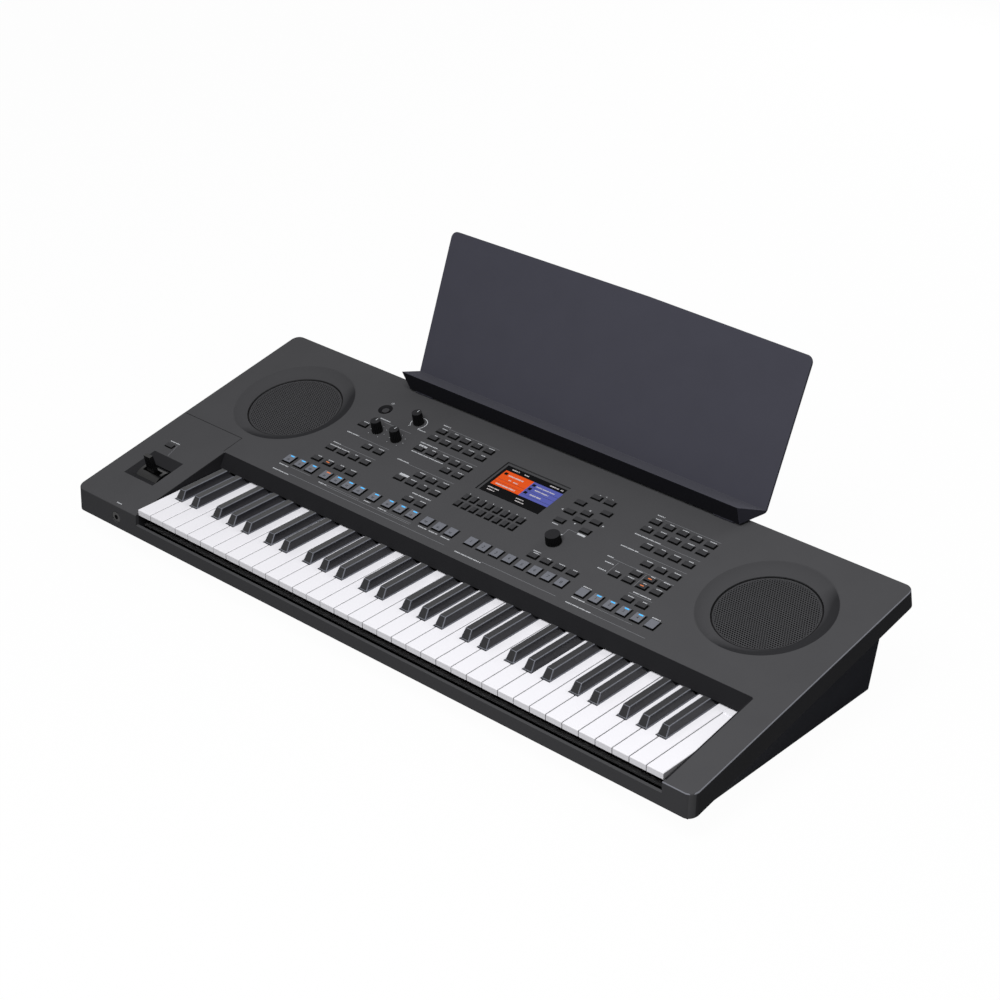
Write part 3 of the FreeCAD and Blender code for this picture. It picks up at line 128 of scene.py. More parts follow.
def moulded(name, colour, roughness, specular=0.5, grain=1500, depth=0.0002, uneven=0.06):
    """A moulded plastic: a fine grain in its face, with colour and gloss a little uneven."""
    material = bpy.data.materials.new(name)
    material.use_nodes = True
    tree = material.node_tree
    shader = tree.nodes["Principled BSDF"]
    shader.inputs["Specular IOR Level"].default_value = specular
    place = tree.nodes.new("ShaderNodeTexCoord")
    cloud = tree.nodes.new("ShaderNodeTexNoise")
    cloud.inputs["Scale"].default_value = CLOUD_SCALE
    cloud.inputs["Detail"].default_value = CLOUD_DETAIL
    tint = tree.nodes.new("ShaderNodeMix")
    tint.data_type = "RGBA"
    tint.inputs["A"].default_value = bright(colour, 1 - uneven)
    tint.inputs["B"].default_value = bright(colour, 1 + uneven)
    gloss = tree.nodes.new("ShaderNodeMapRange")
    gloss.inputs["To Min"].default_value = roughness - GLOSS_SPREAD
    gloss.inputs["To Max"].default_value = roughness + GLOSS_SPREAD
    fine = tree.nodes.new("ShaderNodeTexNoise")
    fine.inputs["Scale"].default_value = grain
    fine.inputs["Detail"].default_value = GRAIN_DETAIL
    bump = tree.nodes.new("ShaderNodeBump")
    bump.inputs["Strength"].default_value = GRAIN_STRENGTH
    bump.inputs["Distance"].default_value = depth
    link = tree.links.new
    link(place.outputs["Object"], cloud.inputs["Vector"])
    link(place.outputs["Object"], fine.inputs["Vector"])
    link(cloud.outputs["Fac"], tint.inputs["Factor"])
    link(cloud.outputs["Fac"], gloss.inputs["Value"])
    link(tint.outputs["Result"], shader.inputs["Base Color"])
    link(gloss.outputs["Result"], shader.inputs["Roughness"])
    link(fine.outputs["Fac"], bump.inputs["Height"])
    link(bump.outputs["Normal"], shader.inputs["Normal"])
    return material


def glowing(material, colour, strength):
    """Light from inside, as from a lamp or a screen."""
    shader = material.node_tree.nodes["Principled BSDF"]
    shader.inputs["Emission Color"].default_value = bright(colour, 1)
    shader.inputs["Emission Strength"].default_value = strength
    return material


def metal(material, share):
    """A surface that mirrors as metal does, by a share."""
    material.node_tree.nodes["Principled BSDF"].inputs["Metallic"].default_value = share
    return material


def within(tree, value, low, high):
    """1 where a value lies between two limits, and 0 elsewhere."""
    above = maths(tree, "GREATER_THAN", value, low)
    below = maths(tree, "LESS_THAN", value, high)
    return maths(tree, "MULTIPLY", above, below)


def places(tree):
    """Where a point lies on the object, as x, y and z in metres."""
    parts = tree.nodes.new("ShaderNodeSeparateXYZ")
    tree.links.new(tree.nodes.new("ShaderNodeTexCoord").outputs["Object"], parts.inputs[0])
    return parts.outputs


def facing(tree, way):
    """How squarely a face of the piece at rest looks along a direction: 1 straight on, 0 across it."""
    dot = tree.nodes.new("ShaderNodeVectorMath")
    dot.operation = "DOT_PRODUCT"
    dot.inputs[1].default_value = way
    tree.links.new(tree.nodes.new("ShaderNodeTexCoord").outputs["Normal"], dot.inputs[0])
    return dot.outputs["Value"]


def repaint(material, share, colour):
    """Another colour where a share of the surface is 1."""
    tree = material.node_tree
    base = tree.nodes["Principled BSDF"].inputs["Base Color"]
    paint = tree.nodes.new("ShaderNodeMix")
    paint.data_type = "RGBA"
    paint.inputs["B"].default_value = bright(colour, 1)
    tree.links.new(share, paint.inputs["Factor"])
    tree.links.new(base.links[0].from_socket, paint.inputs["A"])
    tree.links.new(paint.outputs["Result"], base)


def dark_box(material, colour, low, high, most_facing=NO_LIMIT):
    """Painted shade: a darker colour between two corners, on faces that look off the panel by less than a
    share.
    """
    tree = material.node_tree
    inside = maths(tree, "LESS_THAN", facing(tree, OFF_PANEL), most_facing)
    for value, least, most in zip(places(tree), low, high):
        inside = maths(tree, "MULTIPLY", within(tree, value, least, most), inside)
    repaint(material, inside, colour)


def bright_border(material, colour):
    """A painted highlight on the rounded right edge, and on the front edge of the right block."""
    tree = material.node_tree
    x, y = places(tree)[:2]
    at_front = maths(tree, "LESS_THAN", y, BORDER_FRONT)
    on_block = maths(tree, "GREATER_THAN", x, RIGHT_BLOCK)
    front_edge = maths(tree, "MULTIPLY", at_front, on_block)
    border = maths(tree, "MAXIMUM", maths(tree, "GREATER_THAN", x, BORDER_RIGHT), front_edge)
    rounded = within(tree, facing(tree, OFF_PANEL), *ROUNDED_EDGE)
    repaint(material, maths(tree, "MULTIPLY", border, rounded), colour)


def round_reach(tree, middle):
    """How far a point of the panel lies from a middle point on it, squared."""
    x, y = places(tree)[:2]
    across = maths(tree, "SUBTRACT", x, middle.x)
    along = maths(tree, "DIVIDE", maths(tree, "SUBTRACT", y, middle.y), math.cos(SLOPE))
    across_squared = maths(tree, "MULTIPLY", across, across)
    along_squared = maths(tree, "MULTIPLY", along, along)
    return maths(tree, "ADD", across_squared, along_squared)


def shaded_dish(material, colour, shade, middle):
    """The dish of a speaker with painted shade: a little darker all over, and darker still on the walls that
    look to the rear and to the left.
    """
    tree = material.node_tree
    inside = maths(tree, "LESS_THAN", round_reach(tree, middle), DISH_RADIUS * DISH_RADIUS)
    repaint(material, inside, colour)
    turn = tree.nodes.new("ShaderNodeMapRange")
    turn.inputs["From Min"].default_value = DISH_SHADE_STARTS
    turn.inputs["From Max"].default_value = DISH_SHADE_FULL
    tree.links.new(facing(tree, OFF_DISH_SHADE), turn.inputs["Value"])
    repaint(material, maths(tree, "MULTIPLY", turn.outputs[0], inside), shade)


def dark_rim(material, colour, middle, inner, outer):
    """Painted shade: a darker ring between two distances from a middle point."""
    tree = material.node_tree
    repaint(material, within(tree, round_reach(tree, middle), inner * inner, outer * outer), colour)


def paint_facing(material, colour, way, low, high=NO_LIMIT):
    """Painted light and shade: another colour on the faces that look along a direction by a share between
    two limits.
    """
    tree = material.node_tree
    repaint(material, within(tree, facing(tree, way), low, high), colour)


panel_grey = moulded("panel_grey", (74, 74, 76), 0.85, 0.02, grain=1800)
# Painted shade on the panel's faces that look to the front and to the right
paint_facing(panel_grey, (66, 66, 68), TO_FRONT, 0.9)
paint_facing(panel_grey, (54, 54, 56), TO_RIGHT, 0.9)
# Painted shade in the key space under the fallboard, in the joystick's well and in the power button's recess
dark_box(panel_grey, (34, 34, 36), KEY_SPACE_LOW, KEY_SPACE_HIGH)
dark_box(panel_grey, (42, 42, 44), WELL_LOW, WELL_HIGH, 0.95)
dark_rim(panel_grey, (36, 36, 38), PANEL_PLACE @ POWER_PLACE, 0, POWER_RECESS_RADIUS)
# Painted highlight along the panel's rounded right edge and the right block's front edge
bright_border(panel_grey, (124, 125, 132))
case_black = moulded("case_black", (34, 35, 40), 0.8, 0.02)
rest_grey = moulded("rest_grey", (68, 68, 77), 0.85, 0.02, grain=1800)
# Painted shade on the music rest's front lip, and painted light on its ledge and top edge
paint_facing(rest_grey, (30, 30, 34), OFF_REST_LIP, 0.97)
paint_facing(rest_grey, (84, 84, 92), OFF_REST_LEDGE, 0.98)
key_white = moulded("key_white", (236, 235, 240), 0.3, 0.2, grain=900, depth=0.00005, uneven=0.01)
# Painted shade on the sides of the white keys, in the gaps between them
for way in (TO_RIGHT, TO_LEFT):
    paint_facing(key_white, (172, 171, 174), way, 0.95)
key_black = moulded("key_black", (20, 20, 23), 0.3, 0.35, grain=2400)
# Painted highlights on the rounded edges of the black keys, kept off their rear slope, and painted light on
# their right sides
for low, high in BLACK_KEY_EDGES:
    paint_facing(key_black, (100, 102, 110), OFF_PANEL, low, high)
paint_facing(key_black, (20, 20, 23), TO_REAR, 0.2)
paint_facing(key_black, (29, 29, 33), TO_RIGHT, 0.97)
button_dark = moulded("button_dark", (57, 57, 59), 0.55, 0.05, grain=2400)
button_light = moulded("button_light", (109, 111, 118), 0.5, 0.05, grain=2400)
# Painted shade on the sides of the buttons
for material in (button_dark, button_light):
    paint_facing(material, (13, 13, 14), OFF_PANEL, -NO_LIMIT, 0.7)
knob_black = moulded("knob_black", (17, 17, 18), 0.5, 0.06, grain=2600)
# Painted light on the tops of the knobs
paint_facing(knob_black, (34, 34, 36), OFF_PANEL, 0.9)
joystick_black = moulded("joystick_black", (12, 12, 13), 0.22, 0.3, depth=0.00005)
grille_black = moulded("grille_black", (62, 62, 64), 0.55, 0.1)
cone_black = moulded("cone_black", (9, 9, 9), 0.8, 0.05, grain=600)
steel = metal(moulded("steel", (168, 168, 170), 0.35, grain=700, depth=0.00004), 0.9)
board_green = moulded("board_green", (24, 78, 50), 0.45, 0.3, grain=400)
black_rubber_and_shade = moulded("black_rubber_and_shade", (18, 18, 18), 0.8, 0.1)
felt_dark = moulded("felt_dark", (20, 17, 18), 0.95, 0.02, grain=2600, depth=0.0006, uneven=0.2)
window_black = moulded("window_black", (7, 7, 9), 0.3, 0.03, depth=0.00001)
jack_black = moulded("jack_black", (16, 16, 17), 0.32, 0.3)
print_white = moulded("print_white", (190, 192, 196), 0.6, 0.1, depth=0.00003)
print_grey = moulded("print_grey", (120, 121, 125), 0.6, 0.1, depth=0.00003)
print_dark = moulded("print_dark", (44, 46, 50), 0.6, 0.1, depth=0.00003)
lamp_blue = glowing(moulded("lamp_blue", (60, 160, 220), 0.35, 0.2), (64, 176, 240), 0.55)
lamp_amber = glowing(moulded("lamp_amber", (190, 104, 56), 0.35, 0.2), (214, 120, 64), 0.35)
screen_orange = glowing(moulded("screen_orange", (190, 70, 20), 0.3, 0.05), (200, 70, 16), 0.4)
screen_blue = glowing(moulded("screen_blue", (70, 76, 140), 0.3, 0.05), (74, 80, 150), 0.4)
screen_pale = glowing(moulded("screen_pale", (180, 176, 176), 0.3, 0.05), (200, 196, 196), 0.2)

COVERS = {
    "top_panel": panel_grey, "bottom_case": case_black, "music_rest": rest_grey,
    "left_grille": grille_black, "right_grille": grille_black, "left_speaker": cone_black,
    "right_speaker": cone_black, "key_chassis": steel, "key_contact_board": board_green,
    "contact_rubber": black_rubber_and_shade, "key_stop_felt": felt_dark, "display_window": window_black,
    "display_module": case_black, "panel_board": board_green, "main_board": board_green,
    "jack_board": board_green, "rear_jacks": jack_black, "headphone_jack": jack_black,
    "rubber_feet": black_rubber_and_shade, "case_screws": steel, "joystick_bracket": case_black,
    "joystick_drum": joystick_black, "joystick_lever": joystick_black, "control_knob_a": knob_black,
    "control_knob_b": knob_black, "volume_knob": knob_black, "data_dial": knob_black,
    "style_control_buttons": button_light, "registration_buttons": button_light,
    "pad_buttons": button_light,
}


def is_key(name):
    return "keys" in name or name == "top_c_key"


for name, node in nodes.items():
    if is_key(name):
        cover = key_black if name.endswith("black") else key_white
    else:
        cover = COVERS.get(name, button_dark)
    node.data.materials.clear()
    node.data.materials.append(cover)

# Broken edges of moulded pieces: widths in mm, angles in degrees
BLACK_KEY_BEVEL = 0.9
WHITE_KEY_BEVEL = 0.6
BUTTON_BEVEL = 0.4
REST_BEVEL = 0.7
BEVEL_SEGMENTS = 2
BEVEL_ANGLE = 35
FLAT_ANGLE = 1


def soften(name, width):
    """Breaks the sharp edges of a moulded piece."""
    node = nodes[name]
    weld = node.modifiers.new("weld", "WELD")
    weld.merge_threshold = WELD_DISTANCE
    flatten = node.modifiers.new("flatten", "DECIMATE")
    flatten.decimate_type = "DISSOLVE"
    flatten.angle_limit = math.radians(FLAT_ANGLE)
    bevel = node.modifiers.new("bevel", "BEVEL")
    bevel.width = width * MM
    bevel.segments = BEVEL_SEGMENTS
    bevel.use_clamp_overlap = not name.endswith("black")
    bevel.limit_method = "ANGLE"
    bevel.angle_limit = math.radians(BEVEL_ANGLE)


for name in nodes:
    if is_key(name):
        soften(name, BLACK_KEY_BEVEL if name.endswith("black") else WHITE_KEY_BEVEL)
    elif name.endswith(("buttons", "button")):
        soften(name, BUTTON_BEVEL)
soften("music_rest", REST_BEVEL)


# Pieces of the scene
def piece(name, mesh, body, material=None):
    """A finished piece that rides on a body of the part."""
    made = bpy.data.objects.new(name, mesh)
    bpy.context.scene.collection.objects.link(made)
    if material:
        mesh.materials.clear()
        mesh.materials.append(material)
    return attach(made, body)


def islands(name):
    """The separate solids of a node, as the lowest and highest corner of each on the panel, in mm."""
    shape = bmesh.new()
    shape.from_mesh(nodes[name].data)
    bmesh.ops.remove_doubles(shape, verts=shape.verts, dist=WELD_DISTANCE)
    found = []
    seen = set()
    for start in shape.verts:
        if start in seen:
            continue
        seen.add(start)
        waiting = [start]
        corners = []
        while waiting:
            vert = waiting.pop()
            corners.append(FROM_PANEL @ vert.co)
            for edge in vert.link_edges:
                other = edge.other_vert(vert)
                if other not in seen:
                    seen.add(other)
                    waiting.append(other)
        found.append((Vector(map(min, zip(*corners))), Vector(map(max, zip(*corners)))))
    shape.free()
    return found


# Depth of a row of buttons, in mm
ROW_STEP = 6


def buttons(name):
    """Middle of each button's top, row by row from the rear, left to right."""
    tops = [((low.x + high.x) / 2, (low.y + high.y) / 2, high.z) for low, high in islands(name)]
    return sorted(tops, key=lambda top: (-round(top[1] / ROW_STEP), top[0]))


def grow(tree, kind, **values):
    """A node with the values of its inputs."""
    node = tree.nodes.new(kind)
    for name, value in values.items():
        node.inputs[name.replace("_", " ")].default_value = value
    return node


def new_tree(name, inputs):
    """A tree of geometry nodes with named inputs, and its two ends."""
    tree = bpy.data.node_groups.new(name, "GeometryNodeTree")
    for label, kind in inputs:
        tree.interface.new_socket(label, in_out="INPUT", socket_type="NodeSocket" + kind)
    tree.interface.new_socket("Result", in_out="OUTPUT", socket_type="NodeSocketGeometry")
    return tree, tree.nodes.new("NodeGroupInput").outputs, tree.nodes.new("NodeGroupOutput").inputs


def finish_tree(tree, shape, material, result):
    """Plain mesh and its finish at the end of a tree."""
    real = tree.nodes.new("GeometryNodeRealizeInstances")
    paint = tree.nodes.new("GeometryNodeSetMaterial")
    tree.links.new(shape, real.inputs["Geometry"])
    tree.links.new(real.outputs["Geometry"], paint.inputs["Geometry"])
    tree.links.new(material, paint.inputs["Material"])
    tree.links.new(paint.outputs["Geometry"], result)


def grown(name, tree, carrier, values):
    """The mesh that a tree makes from a carrier mesh."""
    made = bpy.data.objects.new(name, carrier)
    bpy.context.scene.collection.objects.link(made)
    modifier = made.modifiers.new("grow", "NODES")
    modifier.node_group = tree
    for socket in tree.interface.items_tree:
        if socket.in_out == "INPUT" and socket.name in values:
            modifier[socket.identifier] = values[socket.name]
    graph = bpy.context.evaluated_depsgraph_get()
    mesh = bpy.data.meshes.new_from_object(made.evaluated_get(graph))
    mesh.name = name
    bpy.data.objects.remove(made)
    return mesh


# Prints and other thin bars on the panel, in mm
DISC_SIDES = 14
THIN_LAYER = 0.08
PRINT_RISE = 0.06
PRINT_DEPTH = 0.1
LINE_WIDTH = 0.5


def bars_tree():
    """Flat bars on points: each point has its own length, width, thickness and turn."""
    tree, given, result = new_tree("flat_bars", [("Points", "Geometry"), ("Round", "Bool"),
                                                 ("Finish", "Material")])
    box = grow(tree, "GeometryNodeMeshCube")
    disc = grow(tree, "GeometryNodeMeshCylinder", Vertices=DISC_SIDES, Radius=0.5, Depth=1.0)
    form = tree.nodes.new("GeometryNodeSwitch")
    form.input_type = "GEOMETRY"
    extent = tree.nodes.new("GeometryNodeInputNamedAttribute")
    extent.data_type = "FLOAT_VECTOR"
    extent.inputs["Name"].default_value = "extent"
    turn = tree.nodes.new("GeometryNodeInputNamedAttribute")
    turn.inputs["Name"].default_value = "turn"
    about = tree.nodes.new("ShaderNodeCombineXYZ")
    rotation = tree.nodes.new("FunctionNodeEulerToRotation")
    spread = tree.nodes.new("GeometryNodeInstanceOnPoints")
    link = tree.links.new
    link(given["Round"], form.inputs["Switch"])
    link(box.outputs["Mesh"], form.inputs["False"])
    link(disc.outputs["Mesh"], form.inputs["True"])
    link(given["Points"], spread.inputs["Points"])
    link(form.outputs["Output"], spread.inputs["Instance"])
    link(extent.outputs["Attribute"], spread.inputs["Scale"])
    link(turn.outputs["Attribute"], about.inputs["Z"])
    link(about.outputs["Vector"], rotation.inputs["Euler"])
    link(rotation.outputs["Rotation"], spread.inputs["Rotation"])
    finish_tree(tree, spread.outputs["Instances"], given["Finish"], result["Result"])
    return tree


FLAT_BARS = bars_tree()


def bars_mesh(name, bars, material, round_ends, top, depth):
    """Bars of x, y, length, width and turn in degrees, with their tops at one height over the panel."""
    carrier = bpy.data.meshes.new(name + "_points")
    carrier.from_pydata([(b[0], b[1], top - depth / 2) for b in bars], [], [])
    extent = carrier.attributes.new("extent", "FLOAT_VECTOR", "POINT")
    extent.data.foreach_set("vector", [value for b in bars for value in (b[2], b[3], depth)])
    turn = carrier.attributes.new("turn", "FLOAT", "POINT")
    turn.data.foreach_set("value", [math.radians(b[4]) for b in bars])
    mesh = grown(name, FLAT_BARS, carrier, {"Round": round_ends, "Finish": material})
    mesh.transform(PANEL_PLACE)
    return mesh


def panel_bars(name, bars, material, body="case", round_ends=False,
               top=PRINT_RISE, depth=PRINT_DEPTH):
    """A piece of flat bars, on the panel or on what moves in it."""
    mesh = bars_mesh(name, bars, material, round_ends, top, depth)
    return piece(name, mesh, body)


def line(x0, y0, x1, y1, width=LINE_WIDTH):
    """A printed line, as a bar."""
    return ((x0 + x1) / 2, (y0 + y1) / 2, math.hypot(x1 - x0, y1 - y0), width,
            math.degrees(math.atan2(y1 - y0, x1 - x0)))


def around(x, y, radius, angle):
    """The point at a distance from another, at an angle in degrees."""
    turn = math.radians(angle)
    return x + radius * math.cos(turn), y + radius * math.sin(turn)


def arc(x, y, radius, first, last, steps, width=LINE_WIDTH):
    """A printed arc, as short bars between two angles in degrees."""
    ends = [around(x, y, radius, first + (last - first) * i / steps) for i in range(steps + 1)]
    return [line(*a, *b, width) for a, b in zip(ends, ends[1:])]


# Marks in the place of lettering: their lengths, the gaps between them and their height, in mm
WORD_MARKS = (1.5, 0.8, 1.1, 1.7, 0.7, 1.2, 0.9, 1.4)
MARKS_IN_WORD = 6
MARK_GAP = 0.4
WORD_GAP = 1.1
MARK_HEIGHT = 1.5
LEAST_MARK = 0.5


def words(x0, x1, y, height=MARK_HEIGHT):
    """A plain row of small marks in the place of a label."""
    marks = []
    x = x0
    count = 0
    while x < x1 - LEAST_MARK:
        width = min(WORD_MARKS[count % len(WORD_MARKS)], x1 - x)
        marks.append((x + width / 2, y, width, height, 0))
        count += 1
        x += width + (WORD_GAP if count % MARKS_IN_WORD == 0 else MARK_GAP)
    return marks


# Prints on the panel, by x and by height v over the fallboard's top edge, in mm
FALLBOARD_TOP = 154.1
BUTTON_LABEL_BEHIND = 5.9
BUTTON_LABEL_HEIGHT = 1.3
DISPLAY_COLUMNS = 8
DISPLAY_MARK_BEHIND = 7.4
DISPLAY_MARK = (1.0, 1.5)
SIGN_MARK = (2.2, 0.6)
PRINTED_LINES = [
    (-257, 116, -202, 116), (-267, 91, -202, 91), (-250.5, 156.5, -233, 156.5), (-221.5, 156, -202.5, 156),
    (-287, 23, -251, 23), (-218, 21.2, -163, 21.2), (-114.6, 21, -73, 21), (-277.6, 12, -8.7, 12),
    (-218, 18.6, -73, 18.6), (52, 12.5, 168, 12.5), (203.5, 21.3, 274.5, 21.3), (222, 11, 302, 11),
    (186.6, 189, 270.3, 189), (210.6, 149.5, 270.3, 149.5), (198.7, 124, 271.5, 124),
    (181, 100, 271.4, 100), (191, 98, 191, 75), (232.7, 98, 232.7, 75), (235, 63.3, 269.5, 63.3),
    (100.4, 101.6, 99.7, 114.5), (99.7, 114.5, 113.5, 114.2), (-166, 189, -79, 189),
    (-149, 148.6, -80, 148.6), (-159, 107, -81, 107), (-452, -23.5, -446, -46),
]
LABELS = [
    (-279, -257, 117), (-278, -265, 91.5), (-278, -243, 85.6), (-306, -278, 10), (10, 52, 10.6),
    (184, 203.5, 22), (184, 221.6, 11.4), (173, 184, 192), (172, 210.6, 150.5), (172, 198.7, 125),
    (171, 181, 101.5), (175.5, 188, 92), (175.5, 188, 78.4), (239, 265, 66.5), (-178, -166, 192),
    (-179, -149, 150), (-176.5, -122, 130.3), (-180, -159, 108.5), (-114, -83, 67), (-428, -419, -148),
    (-468, -451, -21), (-261, -243, 160.5), (-306, -290, 21.5), (-233, -219, 20), (-156, -145, 23.5),
    (-130, -116, 22), (74, 84, 114.1), (90, 101, 62.5), (-226, -216, 190), (-202, -188, 168),
    (286, 298, 43.5), (184, 196, 43.5), (-62, -48, 22.5), (-44, -30, 22.5), (-24, -10, 22.5),
]
BUTTON_LABEL_LENGTHS = (8.5, 6, 9.5, 7, 10, 5)
WHITE_BOXES = [(119.8, 114, 12, 3), (-169.5, 144.5, 13, 3.2), (-148, 87.6, 15, 3.6)]
DIRECTION_MARKS = [(67.5, 140.5, 90), (98.9, 155.2, 0), (99, 126.8, 180), (131.4, 140.2, -90),
                   (99.1, 102.3, 60)]
DIRECTION_MARK_REACH = 1.7
SIGN_MARKS = [(89.8, 184.9), (98.2, 186.4), (108.3, 186.1)]

# Scales round the knobs, the painted shade in the seam of the left block and the mark at the power button,
# on the panel
KNOBS = {"control_knob_a": (-243.9, 291.2), "control_knob_b": (-209.3, 289.9), "volume_knob": (-209.2, 332)}
DOT_RING = 11.8
DOT_SIZE = 1
DOT_ANGLES = (225, 180, 135, 90, 45, 0, -45)
VOLUME_RING = 11.2
VOLUME_ENDS = (-50, 230)
VOLUME_STEPS = 28
VOLUME_WIDTH = 1.0
VOLUME_TICK_END = 14
VOLUME_TICK_WIDTH = 0.7
SEAM_LINES = [(-498.5, 186.95, -388.7, 186.95), (-389.1, 155, -389.1, 187.3)]
SEAM_WIDTH = 0.86
SEAM_TOP = -0.4
POWER_MARK_PLACE = (-269.5, 346.2)
POWER_MARK_RADIUS = 1.7
POWER_MARK_ENDS = (120, 420)
POWER_MARK_STEPS = 14
POWER_STROKE = (-269.5, 346.4, -269.5, 348.7)

# Dark sections that have a label behind each button
DARK_GROUPS = ("accompaniment_buttons", "function_buttons", "style_buttons", "song_buttons",
               "memory_buttons", "voice_buttons", "one_touch_buttons", "effect_buttons", "part_buttons",
               "octave_buttons")

lines = [line(x0, v0 + FALLBOARD_TOP, x1, v1 + FALLBOARD_TOP) for x0, v0, x1, v1 in PRINTED_LINES]
panel_bars("printed_lines", lines, print_grey)

label_marks = []
for x0, x1, v in LABELS:
    label_marks += words(x0, x1, v + FALLBOARD_TOP)
for group in DARK_GROUPS:
    for index, (x, y, top) in enumerate(buttons(group)):
        half = BUTTON_LABEL_LENGTHS[index % len(BUTTON_LABEL_LENGTHS)] / 2
        label_marks += words(x - half, x + half, y + BUTTON_LABEL_BEHIND, BUTTON_LABEL_HEIGHT)
for x, v in SIGN_MARKS:
    label_marks.append((x, v + FALLBOARD_TOP, *SIGN_MARK, 0))
for x, y, top in buttons("display_buttons")[:DISPLAY_COLUMNS]:
    label_marks.append((x, y + DISPLAY_MARK_BEHIND, *DISPLAY_MARK, 0))
panel_bars("printed_labels", label_marks, print_white)
boxes = [(x, v + FALLBOARD_TOP, length, width, 0) for x, v, length, width in WHITE_BOXES]
panel_bars("printed_boxes", boxes, print_white)

scale_dots = []
for name in ("control_knob_a", "control_knob_b"):
    for angle in DOT_ANGLES:
        scale_dots.append((*around(*KNOBS[name], DOT_RING, angle), DOT_SIZE, DOT_SIZE, 0))
panel_bars("knob_scale_dots", scale_dots, print_white, round_ends=True)
volume_place = KNOBS["volume_knob"]
volume_scale = arc(*volume_place, VOLUME_RING, *VOLUME_ENDS, VOLUME_STEPS, VOLUME_WIDTH)
for angle in VOLUME_ENDS:
    inner = around(*volume_place, VOLUME_RING, angle)
    outer = around(*volume_place, VOLUME_TICK_END, angle)
    volume_scale.append(line(*inner, *outer, VOLUME_TICK_WIDTH))
panel_bars("volume_scale", volume_scale, print_white)
# Painted shade in the seam of the left block: a dark strip on the seam's floor
seam = [line(*ends, SEAM_WIDTH) for ends in SEAM_LINES]
panel_bars("seam_painted_shade", seam, black_rubber_and_shade, top=SEAM_TOP, depth=THIN_LAYER)
power_mark = arc(*POWER_MARK_PLACE, POWER_MARK_RADIUS, *POWER_MARK_ENDS, POWER_MARK_STEPS)
power_mark.append(line(*POWER_STROKE))
panel_bars("power_mark", power_mark, print_white)


def triangles_mesh(name):
    """Small printed triangles that point the way of each cursor button."""
    shape = bmesh.new()
    for x, v, turn in DIRECTION_MARKS:
        y = v + FALLBOARD_TOP
        corners = [around(x, y, DIRECTION_MARK_REACH, angle + turn) for angle in (90, 210, 330)]
        low = [shape.verts.new((a, b, PRINT_RISE - PRINT_DEPTH)) for a, b in corners]
        high = [shape.verts.new((a, b, PRINT_RISE)) for a, b in corners]
        shape.faces.new(high)
        shape.faces.new(list(reversed(low)))
        for i in range(3):
            j = (i + 1) % 3
            shape.faces.new((low[i], low[j], high[j], high[i]))
    mesh = bpy.data.meshes.new(name)
    shape.to_mesh(mesh)
    shape.free()
    mesh.transform(PANEL_PLACE)
    return mesh


piece("direction_marks", triangles_mesh("direction_marks"), "case", print_white)

# Lamps and marks that move with the buttons, in mm, and which buttons have them
LAMP_BACK = 4.6
LAMP_SHIFT = 1
SQUARE_LAMP = (6.2, 1.7)
ACCENT_LAMP = (5.2, 1.3)
LAMP_RISE = 0.15
LAMP_DEPTH = 0.4
BREAK_BUTTON = 3
LAST_LIT_STYLE = 10
NUMBERED_PADS = slice(1, 5)
ACCOMPANIMENT_LIT = -3
PARTS_LIT = ((241.8, 93), (242, 78.3))
UPPER_MARK_DROP = 1.5
UPPER_MARK_LENGTH = 3.2
LOWER_MARK_DROP = 3.2
LOWER_MARK_LENGTH = 4.4
STYLE_MARK_WIDTH = 0.8
squares = buttons("style_control_buttons")
pads = buttons("pad_buttons")[NUMBERED_PADS]
memories = buttons("registration_buttons")


def square_lamps(name, places, material, section):
    """A lamp bar at the rear of each square button."""
    bars = [(x + LAMP_SHIFT, y + LAMP_BACK, *SQUARE_LAMP, 0) for x, y, top in places]
    panel_bars(name, bars, material, section, top=places[0][2] + LAMP_RISE,
               depth=LAMP_DEPTH)


def accent_lamps(name, places, section):
    """A lamp bar in the middle of each dark button that is lit."""
    bars = [(x, y, *ACCENT_LAMP, 0) for x, y, top in places]
    panel_bars(name, bars, lamp_amber, section, top=places[0][2] + LAMP_RISE,
               depth=LAMP_DEPTH)


lit_styles = [place for index, place in enumerate(squares[:LAST_LIT_STYLE + 1]) if index != BREAK_BUTTON]
square_lamps("style_lamps", lit_styles, lamp_blue, "style_control_buttons")
square_lamps("break_lamp", [squares[BREAK_BUTTON]], lamp_amber, "style_control_buttons")
square_lamps("pad_lamps", pads, lamp_blue, "pad_buttons")
style_marks = []
for index, (x, y, top) in enumerate(squares):
    style_marks.append((x, y - UPPER_MARK_DROP, UPPER_MARK_LENGTH + index % 3, STYLE_MARK_WIDTH, 0))
    style_marks.append((x, y - LOWER_MARK_DROP, LOWER_MARK_LENGTH - index % 2, STYLE_MARK_WIDTH, 0))
panel_bars("style_marks", style_marks, print_dark, "style_control_buttons",
           top=squares[0][2] + PRINT_RISE)
accent_lamps("accompaniment_lamp", [buttons("accompaniment_buttons")[ACCOMPANIMENT_LIT]],
             "accompaniment_buttons")
part_row = buttons("part_buttons")
lit_parts = [min(part_row, key=lambda top: math.hypot(top[0] - x, top[1] - v - FALLBOARD_TOP))
             for x, v in PARTS_LIT]
accent_lamps("part_lamps", lit_parts, "part_buttons")

# Plain numbers on the light buttons, in mm
MEMORY_DIGIT = 6.5
PAD_DIGIT = 6
DIGIT_DROP = 0.6
DIGIT_WELD = 0.0001


